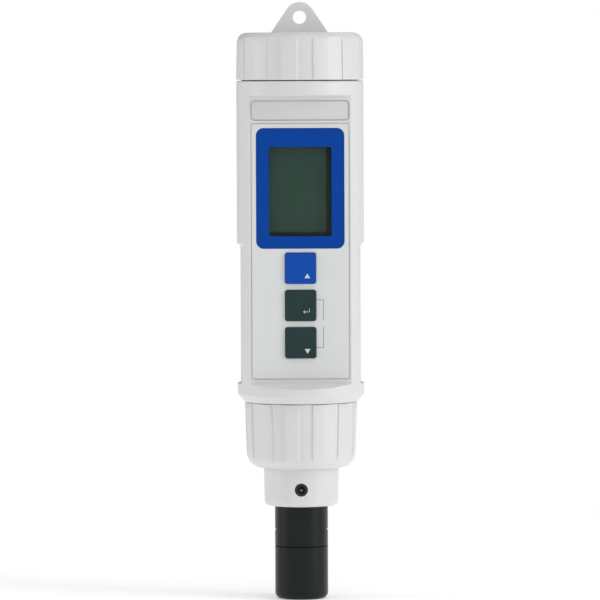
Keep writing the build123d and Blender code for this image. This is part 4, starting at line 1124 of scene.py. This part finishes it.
@dataclass
class ProbeHead(Part):
    """The white collar with the temperature sensor, and the black shaft."""

    collar_foot: float = 11.7 * MM
    collar_head: float = 11.9 * MM
    collar_round: float = 1.5 * MM
    collar_exposed: float = 12.1 * MM
    stem: float = 7.9 * MM
    stem_play: float = 0.1 * MM
    flange: float = 14.5 * MM
    flange_thickness: float = 2.0 * MM
    plug: float = 12.3 * MM
    plug_length: float = 8.1 * MM
    plug_chamfer: float = 0.3 * MM
    cavity: float = 10.4 * MM
    ledge: float = 9.6 * MM
    ledge_drop: float = 0.4 * MM
    web_drop: float = 3.8 * MM
    web_thickness: float = 0.9 * MM
    wire_hole: float = 5.0 * MM
    groove: float = 11.4 * MM
    groove_drops: Point = (3.4 * MM, 1.9 * MM)
    key_half: float = 1.2 * MM
    key_sink: float = 0.2 * MM
    key_proud: float = 1.2 * MM
    key_bury: float = 0.1 * MM
    key_rise: float = 3.7 * MM
    key_edge: float = 0.2 * MM
    sensor_radius: float = 2.05 * MM
    sensor_bore: float = 1.05 * MM
    sensor_play: float = 0.04 * MM
    drill_ends: Point = (-15 * MM, -6 * MM)
    bush_lip: float = 0.28 * MM
    bush_chamfer: float = 0.35 * MM
    dome_flat: float = 0.05 * MM
    dome_rise: float = 0.55
    shaft_radius: float = 8.45 * MM
    shaft_edge: float = 0.15 * MM
    shaft_rings: Point = (4.4 * MM, 8.8 * MM)
    collar_gap: float = 0.05 * MM
    tip_neck: float = 6.9 * MM
    tip_neck_length: float = 12.7 * MM
    thread_low: float = 4.2 * MM
    chamber: float = 5.2 * MM
    chamber_depth: float = 8.8 * MM
    electrode_bore: float = 4.1 * MM
    notch_low: float = 4.8 * MM
    notch_height: float = 0.6 * MM
    notch_depth: float = 0.4 * MM
    notch_half: float = 2.5 * MM
    notch_reach: float = 2 * MM

    def __post_init__(self) -> None:
        """Read the height of the sensor's axis from the frame."""
        low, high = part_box("temperature_bush")
        self.sensor_height = (low.z + high.z) / 2

    def build(self) -> None:
        """Model the collar, the sensor and the shaft."""
        self._collar()
        self._sensor()
        self._shaft()

    def _collar(self) -> None:
        """Draw the collar up to the plug, and drill it for the sensor."""
        low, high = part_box("probe_collar")
        bottom, top = low.z, high.z
        flange_top = top - self.plug_length
        flange_low = flange_top - self.flange_thickness
        ledge_top = flange_top - self.ledge_drop
        web_low = flange_low - self.web_drop
        web_top = web_low + self.web_thickness
        groove_low, groove_top = (top - drop for drop in self.groove_drops)
        hole = self.stem + self.stem_play
        centre = (self.collar_foot - self.collar_round, bottom + self.collar_round)
        profile = [(hole, bottom)] + arc(centre, (self.collar_round, self.collar_round), -90, 0, 8)
        profile += [(self.collar_head, bottom + self.collar_exposed), (self.collar_head, flange_low),
                    (self.flange, flange_low), (self.flange, flange_top), (self.plug, flange_top),
                    (self.plug, groove_low), (self.groove, groove_low), (self.groove, groove_top),
                    (self.plug, groove_top), (self.plug - self.plug_chamfer, top), (self.cavity, top),
                    (self.cavity, ledge_top), (self.ledge, ledge_top), (self.ledge, web_top),
                    (self.wire_hole, web_top), (self.wire_hole, web_low), (hole, web_low)]
        collar = Bench.lathe("collar_shell", profile, BARREL_SEGMENTS, joined=True)
        Bench.close(collar)
        Bench.cut(collar, Bench.rod("sensor_drill", self.sensor_radius + self.sensor_play,
                                    self.drill_ends, 0, self.sensor_height))
        rib = Bench.slab(
            "collar_key", (-self.key_half, self.plug - self.key_sink, flange_top - self.key_bury),
            (self.key_half, self.plug + self.key_proud, flange_top + self.key_rise))
        Bench.soften(rib, self.key_edge)
        Bench.join(collar, [rib])
        Bench.close(collar)
        self.settle(collar, "probe_head", "white_plastic", replaces=["probe_collar"])

    def _sensor(self) -> None:
        """Turn the bush and the metal tip of the temperature sensor."""
        low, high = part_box("temperature_bush")
        front, back, lip = low.y, high.y, self.bush_lip
        profile = [(self.sensor_bore, back), (self.sensor_radius, back), (self.sensor_radius, front + lip)]
        profile += arc((self.sensor_radius - lip, front + lip), (lip, -lip), 0, 90, 4)[1:]
        profile += [(self.sensor_bore + self.bush_chamfer, front),
                    (self.sensor_bore, front + self.bush_chamfer)]
        bush = self._turned_forward("sensor_bush", profile, joined=True)
        self.settle(bush, "probe_head", "bush_black", replaces=["temperature_bush"])
        low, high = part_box("temperature_tip")
        radius = (high.x - low.x) / 2
        rise = radius * self.dome_rise
        dome = arc((self.dome_flat, low.y + rise), (radius - self.dome_flat, -rise), 0, 88, 8)
        tip = self._turned_forward("sensor_tip", [(radius, high.y)] + dome, joined=False)
        self.settle(tip, "probe_head", "tip_steel", replaces=["temperature_tip"])

    def _turned_forward(self, name: str, profile: Sequence[Point], joined: bool) -> bpy.types.Object:
        """Draw a small turned piece on the sensor's axis, which points to the front.

        Args:
            name: The piece's name.
            profile: Points of (radius, place along the axis).
            joined: Whether the profile's end meets its start.

        Returns:
            The piece, in object mode.
        """
        piece = Bench.lathe(name, profile, SMALL_SEGMENTS, joined)
        Bench.edit(piece, "SELECT")
        bpy.ops.transform.rotate(value=math.pi / 2, orient_axis="X", center_override=(0, 0, 0))
        bpy.ops.transform.translate(value=(0, 0, self.sensor_height))
        return Bench.close(piece)

    def _shaft(self) -> None:
        """Draw the shaft and cut its two small notches."""
        low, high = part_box("probe_shaft")
        shoulder = low.z + self.tip_neck_length
        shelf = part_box("probe_collar")[0].z - self.collar_gap
        chamber_top = low.z + self.chamber_depth
        edge = self.shaft_edge
        profile = [(self.chamber, low.z), (self.tip_neck - edge, low.z), (self.tip_neck, low.z + edge),
                   (self.tip_neck, shoulder), (self.shaft_radius - edge, shoulder),
                   (self.shaft_radius, shoulder + edge)]
        profile += [(self.shaft_radius, shoulder + rise) for rise in self.shaft_rings]
        profile += [(self.shaft_radius, shelf), (self.stem, shelf), (self.stem, high.z),
                    (self.electrode_bore, high.z), (self.electrode_bore, chamber_top),
                    (self.chamber, chamber_top)]
        shaft = Bench.lathe("shaft_barrel", profile, BARREL_SEGMENTS, joined=True)
        Bench.close(shaft)
        level = shoulder + self.notch_low
        for sign in (-1, 1):
            inner = sign * (self.shaft_radius - self.notch_depth)
            outer = sign * (self.shaft_radius + self.notch_reach)
            Bench.cut(shaft, Bench.slab("notch_tool", (min(inner, outer), -self.notch_half, level),
                                        (max(inner, outer), self.notch_half, level + self.notch_height)))
        thread = Thread(self.tip_neck, Side.OUT, turns=5.5, height=0.16 * MM, pitch=TIP_PITCH)
        Bench.join(shaft, [thread.wind("tip_neck_thread", low.z + self.thread_low)])
        Bench.close(shaft)
        self.settle(shaft, "probe_head", "probe_black", replaces=["probe_shaft"])


@dataclass
class MembraneCap(Part):
    """The black screw-on tip."""

    radius: float = 8.45 * MM
    round: float = 2.0 * MM
    opening: float = 3.2 * MM
    mouth_chamfer: float = 0.3 * MM
    rings: Point = (7 * MM, 12 * MM)
    seat: float = 1.8 * MM
    membrane_bore: float = 5.8 * MM
    step: float = 4.0 * MM
    bore: float = 7.2 * MM
    seal_bore: float = 7.85 * MM
    seal_room: float = 1.1 * MM
    edge: float = 0.12 * MM
    thread_drop: float = 6.2 * MM

    def build(self) -> None:
        """Draw the tip and its inner thread."""
        low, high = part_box("membrane_cap")
        seat, ledge, seal = low.z + self.seat, low.z + self.step, high.z - self.seal_room
        profile = [(self.opening, seat), (self.opening, low.z + self.mouth_chamfer),
                   (self.opening + self.mouth_chamfer, low.z)]
        profile += arc((self.radius - self.round, low.z + self.round), (self.round, self.round), -90, 0, 9)
        profile += [(self.radius, low.z + rise) for rise in self.rings]
        profile += [(self.radius, high.z - self.edge), (self.radius - self.edge, high.z),
                    (self.seal_bore, high.z), (self.seal_bore, seal), (self.bore, seal),
                    (self.bore, ledge), (self.membrane_bore, ledge), (self.membrane_bore, seat)]
        tip = Bench.lathe("tip_shell", profile, BARREL_SEGMENTS, joined=True)
        Bench.close(tip)
        thread = Thread(self.bore, Side.IN, turns=4.0, height=0.1 * MM, pitch=TIP_PITCH)
        Bench.join(tip, [thread.wind("tip_inner_thread", high.z - self.thread_drop)])
        self.settle(tip, "membrane_cap", "probe_black", replaces=["membrane_cap"])


class Mark(Enum):
    """The sign on a key, with its place across and up from the key's middle in millimetres."""

    UP = (2.15, -2.65)
    ENTER = (1.85, -2.0)
    DOWN = (2.15, -2.45)


@dataclass
class Key(Part):
    """One raised square key with a shallow dish in its face and a printed sign."""

    node: str
    slot: str
    mark: Mark
    corner: float = 0.9 * MM
    edge: float = 0.35 * MM
    dish: float = 0.025 * MM
    dish_rim: float = 0.02 * MM
    head: float = 9.8 * MM
    skirt: float = 1.4 * MM
    flange_front: float = 1.35 * MM
    flange_thickness: float = 0.6 * MM
    flange_edge: float = 0.12 * MM
    stem: float = 1.8 * MM
    stem_sink: float = 0.05 * MM
    stem_edge: float = 0.15 * MM
    stem_segments: int = 48
    sign_depth: float = 0.08 * MM
    sign_height: float = 0.05 * MM
    triangle: float = 1.0 * MM
    triangle_stretch: float = 1.04
    arrow: Point = (2.0 * MM, 1.1 * MM)
    arrow_line: float = 0.16 * MM
    barb: float = 0.75 * MM
    barb_angle: float = 38.0

    def build(self) -> None:
        """Shape the key from a block and lay its sign on it."""
        low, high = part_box(self.node)
        centre = (low + high) / 2
        half = self.head / 2
        key = Bench.slab(self.node + "_cap", (centre.x - half, low.y, centre.z - half),
                         (centre.x + half, low.y + self.skirt, centre.z + half))
        Bench.edit(key)
        Bench.pick(key, lambda co: abs(abs(co.x - centre.x) - half) < 10 * TOUCH
                   and abs(abs(co.z - centre.z) - half) < 10 * TOUCH, "EDGE")
        bpy.ops.mesh.bevel(offset=self.corner, segments=6, affect="EDGES")
        Bench.pick(key, lambda co: abs(co.y - low.y) < TOUCH, "FACE")
        bpy.ops.mesh.bevel(offset=self.edge, segments=4, affect="EDGES")
        Bench.pick(key, lambda co: abs(co.y - low.y) < TOUCH, "FACE")
        for share, drop in ((0.92, self.dish_rim), (0.80, self.dish), (0.55, self.dish), (0.55, self.dish)):
            bpy.ops.mesh.extrude_region_move(TRANSFORM_OT_translate={"value": (0, drop, 0)})
            bpy.ops.transform.resize(value=(share, 1, share), center_override=centre)
        Bench.close(key, KEY_SMOOTH_ANGLE)
        self.settle(self._legged(key, low, high), self.node, self.slot, replaces=[self.node])
        self._sign(centre, low.y + self.sign_depth)

    def _legged(self, key: bpy.types.Object, low: Vector, high: Vector) -> bpy.types.Object:
        """Add the flange that holds the key under the faceplate, and the stem over its dome.

        Args:
            key: The key's head.
            low: The lowest corner of the whole key.
            high: The highest corner of the whole key.

        Returns:
            The whole key, in object mode.
        """
        front = low.y + self.flange_front
        back = front + self.flange_thickness
        flange = Bench.slab(self.node + "_flange", (low.x, front, low.z), (high.x, back, high.z))
        Bench.soften(flange, self.flange_edge)
        centre = (low + high) / 2
        stem = Bench.rod(self.node + "_stem", self.stem, (back - self.stem_sink, high.y),
                         centre.x, centre.z, self.stem_segments)
        Bench.soften(stem, self.stem_edge)
        return Bench.close(Bench.join(key, [flange, stem]), KEY_SMOOTH_ANGLE)

    def _sign(self, centre: Vector, face: float) -> None:
        """Lay the sign in the key's lower right corner.

        Args:
            centre: The key's middle.
            face: The place, from front to back, that the sign lies on.
        """
        across, up = self.mark.value
        place = Vector((centre.x + across * MM, face, centre.z + up * MM))
        piece = self._arrow(place) if self.mark is Mark.ENTER else self._triangle(place)
        self.settle(piece, self.node, self.slot, "mark_pale")

    def _triangle(self, place: Vector) -> bpy.types.Object:
        """Make a small flat triangle that points up, or down for its mark.

        Args:
            place: The triangle's middle.

        Returns:
            The triangle, in object mode.
        """
        Bench.clear()
        bpy.ops.mesh.primitive_circle_add(vertices=3, radius=self.triangle, fill_type="NGON",
                                          location=place, rotation=(math.pi / 2, 0, 0))
        piece = Bench.named(self.node + "_sign")
        Bench.edit(piece, "SELECT")
        upwards = 1.0 if self.mark is Mark.UP else -1.0
        bpy.ops.transform.resize(value=(self.triangle_stretch, 1, upwards), center_override=place)
        bpy.ops.mesh.extrude_region_move(TRANSFORM_OT_translate={"value": (0, -self.sign_height, 0)})
        return Bench.close(piece)

    def _arrow(self, place: Vector) -> bpy.types.Object:
        """Make a small hooked arrow from a few thin bars.

        Args:
            place: The middle of the arrow's shaft.

        Returns:
            The arrow, in object mode.
        """
        line = self.arrow_line
        wide, tall = self.arrow
        front, back = place.y - self.sign_height, place.y
        bars = [((-wide / 2, -line / 2), (wide / 2, line / 2)),
                ((wide / 2 - line, -line / 2), (wide / 2, tall))]
        pieces = [Bench.slab("bar", (place.x + start[0], front, place.z + start[1]),
                             (place.x + end[0], back, place.z + end[1])) for start, end in bars]
        for sign in (-1, 1):
            barb = Bench.slab("barb", (place.x - wide / 2, front, place.z - line / 2),
                              (place.x - wide / 2 + self.barb, back, place.z + line / 2))
            Bench.edit(barb, "SELECT")
            bpy.ops.transform.rotate(value=sign * math.radians(self.barb_angle), orient_axis="Y",
                                     center_override=(place.x - wide / 2, place.y, place.z))
            pieces.append(barb)
        arrow = Bench.join(pieces[0], pieces[1:])
        arrow.name = self.node + "_sign"
        return Bench.close(arrow)


@dataclass
class FrontPanel(Part):
    """The bracket line printed beside the keys, in two halves with a gap between them."""

    line: float = 0.14 * MM
    line_edge: float = 0.008 * MM
    lift: float = 0.015 * MM
    sink: float = 0.02 * MM
    left: float = 5.1 * MM
    right: float = 7.2 * MM
    top: float = 95.8 * MM
    bottom: float = 80.7 * MM
    gap: Point = (87.2 * MM, 89.6 * MM)

    def build(self) -> None:
        """Lay the bracket line on the faceplate in two hooked halves."""
        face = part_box("faceplate")[0].y
        half = self.line / 2
        spans = [((self.left, self.top), (self.right, self.top)),
                 ((self.right, self.gap[1]), (self.right, self.top)),
                 ((self.right, self.bottom), (self.right, self.gap[0])),
                 ((self.left, self.bottom), (self.right, self.bottom))]
        bars = [Bench.slab("line", (start[0] - half, face - self.lift, start[1] - half),
                           (end[0] + half, face + self.sink, end[1] + half)) for start, end in spans]
        bracket = Bench.join(bars[0], bars[1:])
        bracket.name = "bracket_line"
        Bench.soften(bracket, self.line_edge, 1)
        self.settle(Bench.close(bracket), "housing", "face_film", "mark_grey")


@dataclass
class Housing(Part):
    """Threads on the housing's two necks. The moulding itself keeps its CAD shape."""

    cap_neck: float = 17.5 * MM
    cap_thread_drop: float = 6.0 * MM
    nut_neck: float = 14.9 * MM
    nut_thread_low: float = 1.4 * MM

    def build(self) -> None:
        """Wind both threads."""
        low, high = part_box("main_housing")
        thread = Thread(self.cap_neck, Side.OUT, turns=1.5, height=0.5 * MM)
        ridge = thread.wind("cap_neck_thread", high.z - self.cap_thread_drop)
        self.settle(ridge, "housing", "white_plastic")
        thread = Thread(self.nut_neck, Side.OUT, turns=2.5, height=0.2 * MM)
        ridge = thread.wind("nut_neck_thread", low.z + self.nut_thread_low)
        self.settle(ridge, "housing", "white_plastic")


@dataclass(frozen=True)
class Lamp:
    """One soft rectangular lamp, with its place and size in metres and its power in watts."""

    name: str
    place: tuple[float, float, float]
    width: float
    height: float
    power: float

    def hang(self, target: Vector) -> None:
        """Hang the lamp so that it faces a point.

        Args:
            target: The point.
        """
        light = bpy.data.lights.new(self.name, "AREA")
        light.shape = "RECTANGLE"
        light.size = self.width
        light.size_y = self.height
        light.energy = self.power
        lamp = bpy.data.objects.new(self.name, light)
        bpy.context.scene.collection.objects.link(lamp)
        lamp.location = self.place
        lamp.rotation_euler = (target - Vector(self.place)).to_track_quat("-Z", "Y").to_euler()


@dataclass
class Studio:
    """The pale floor, the soft lights and the camera. The camera's angles are in degrees."""

    distance: float = 1.70
    eye_height: float = 0.171
    aim_height: float = 0.0952
    aim_x: float = -0.0002
    view_angle: float = 6.43
    roll: float = -0.22
    sensor_width: float = 36.0
    clip_start: float = 0.05
    ambient: float = 0.40
    in_gloss: float = 0.10
    floor_size: float = 16.0
    floor_grey: float = 0.86
    floor_glow: float = 0.35
    floor_fade: Point = (0.10, 0.40)
    lamp_target: tuple[float, float, float] = (0, 0, 0.1)
    lamps: tuple[Lamp, ...] = (
        Lamp("key_light", (1.60, -0.80, 0.75), 0.8, 1.6, 14.5),
        Lamp("side_light", (-1.50, -0.25, 0.45), 0.35, 1.5, 6.5),
        Lamp("top_light", (0.15, -0.45, 1.45), 0.9, 0.9, 3.5),
        Lamp("back_light", (0.5, 1.6, 1.4), 1.4, 1.4, 5.0))

    def build(self) -> None:
        """Set up everything that isn't the pen."""
        bpy.context.scene.view_settings.view_transform = "Standard"
        self._camera()
        self._world()
        self._floor()
        for lamp in self.lamps:
            lamp.hang(Vector(self.lamp_target))

    def _camera(self) -> None:
        """Stand the camera where the photograph was taken from."""
        lens = bpy.data.cameras.new("camera")
        lens.sensor_width = self.sensor_width
        lens.lens = self.sensor_width / 2 / math.tan(math.radians(self.view_angle / 2))
        lens.clip_start = self.clip_start
        camera = bpy.data.objects.new("camera", lens)
        bpy.context.scene.collection.objects.link(camera)
        camera.location = (self.aim_x, -self.distance, self.eye_height)
        aim = Vector((self.aim_x, 0, self.aim_height)) - camera.location
        camera.rotation_mode = "QUATERNION"
        roll = Quaternion((0, 0, 1), math.radians(self.roll))
        camera.rotation_quaternion = aim.to_track_quat("-Z", "Y") @ roll
        bpy.context.scene.camera = camera

    def _world(self) -> None:
        """Light the pen from all round, faintly in its gloss, and show white to the camera."""
        world = bpy.data.worlds.new("studio")
        bpy.context.scene.world = world
        shader = Shader(world)
        path = shader.raw("ShaderNodeLightPath", {}, {})
        soft, faint, plain = (
            shader.raw("ShaderNodeBackground", {}, {"Color": WHITE, "Strength": strength}).outputs[0]
            for strength in (self.ambient, self.in_gloss, 1.0))
        light = shader.raw("ShaderNodeMixShader", {}, {0: path.outputs["Is Glossy Ray"], 1: soft, 2: faint})
        shown = shader.raw("ShaderNodeMixShader", {},
                           {0: path.outputs["Is Camera Ray"], 1: light.outputs[0], 2: plain})
        shader.raw("ShaderNodeOutputWorld", {}, {"Surface": shown.outputs[0]})

    def _floor(self) -> None:
        """Lay the pale floor, which fades to white for the camera but keeps shadows."""
        Bench.clear()
        bpy.ops.mesh.primitive_plane_add(size=self.floor_size)
        floor = Bench.named("floor")
        shader = Shader(bpy.data.materials.new("floor_white"))
        path = shader.raw("ShaderNodeLightPath", {}, {})
        seen = Socket(shader, path.outputs["Is Camera Ray"])
        x, y, _ = shader.axes()
        away = (x * x + y * y).power(0.5).ramp(*self.floor_fade)
        diffuse = shader.raw("ShaderNodeBsdfDiffuse", {}, {"Color": (self.floor_grey,) * 3})
        glow = shader.raw("ShaderNodeEmission", {}, {"Color": WHITE, "Strength": self.floor_glow})
        near = shader.raw("ShaderNodeAddShader", {}, {0: diffuse.outputs[0], 1: glow.outputs[0]})
        white = shader.raw("ShaderNodeEmission", {}, {"Color": WHITE, "Strength": 1.0})
        shown = shader.raw("ShaderNodeMixShader", {},
                           {0: seen * away, 1: near.outputs[0], 2: white.outputs[0]})
        shader.raw("ShaderNodeOutputMaterial", {}, {"Surface": shown.outputs[0]})
        floor.data.materials.append(shader.owner)


def main() -> None:
    """Build the pen's visible pieces around the frame, in order."""
    finishes = Finishes()
    finishes.dress_nodes()
    parts = [
        Housing(finishes), BatteryCap(finishes), CouplingNut(finishes), ProbeHead(finishes),
        MembraneCap(finishes), Key(finishes, "power_key", "key_blue", Mark.UP),
        Key(finishes, "hold_key", "key_dark", Mark.ENTER),
        Key(finishes, "record_key", "key_dark", Mark.DOWN), FrontPanel(finishes)]
    for part in parts:
        part.build()
    Studio().build()


if __name__ == "__main__":
    main()
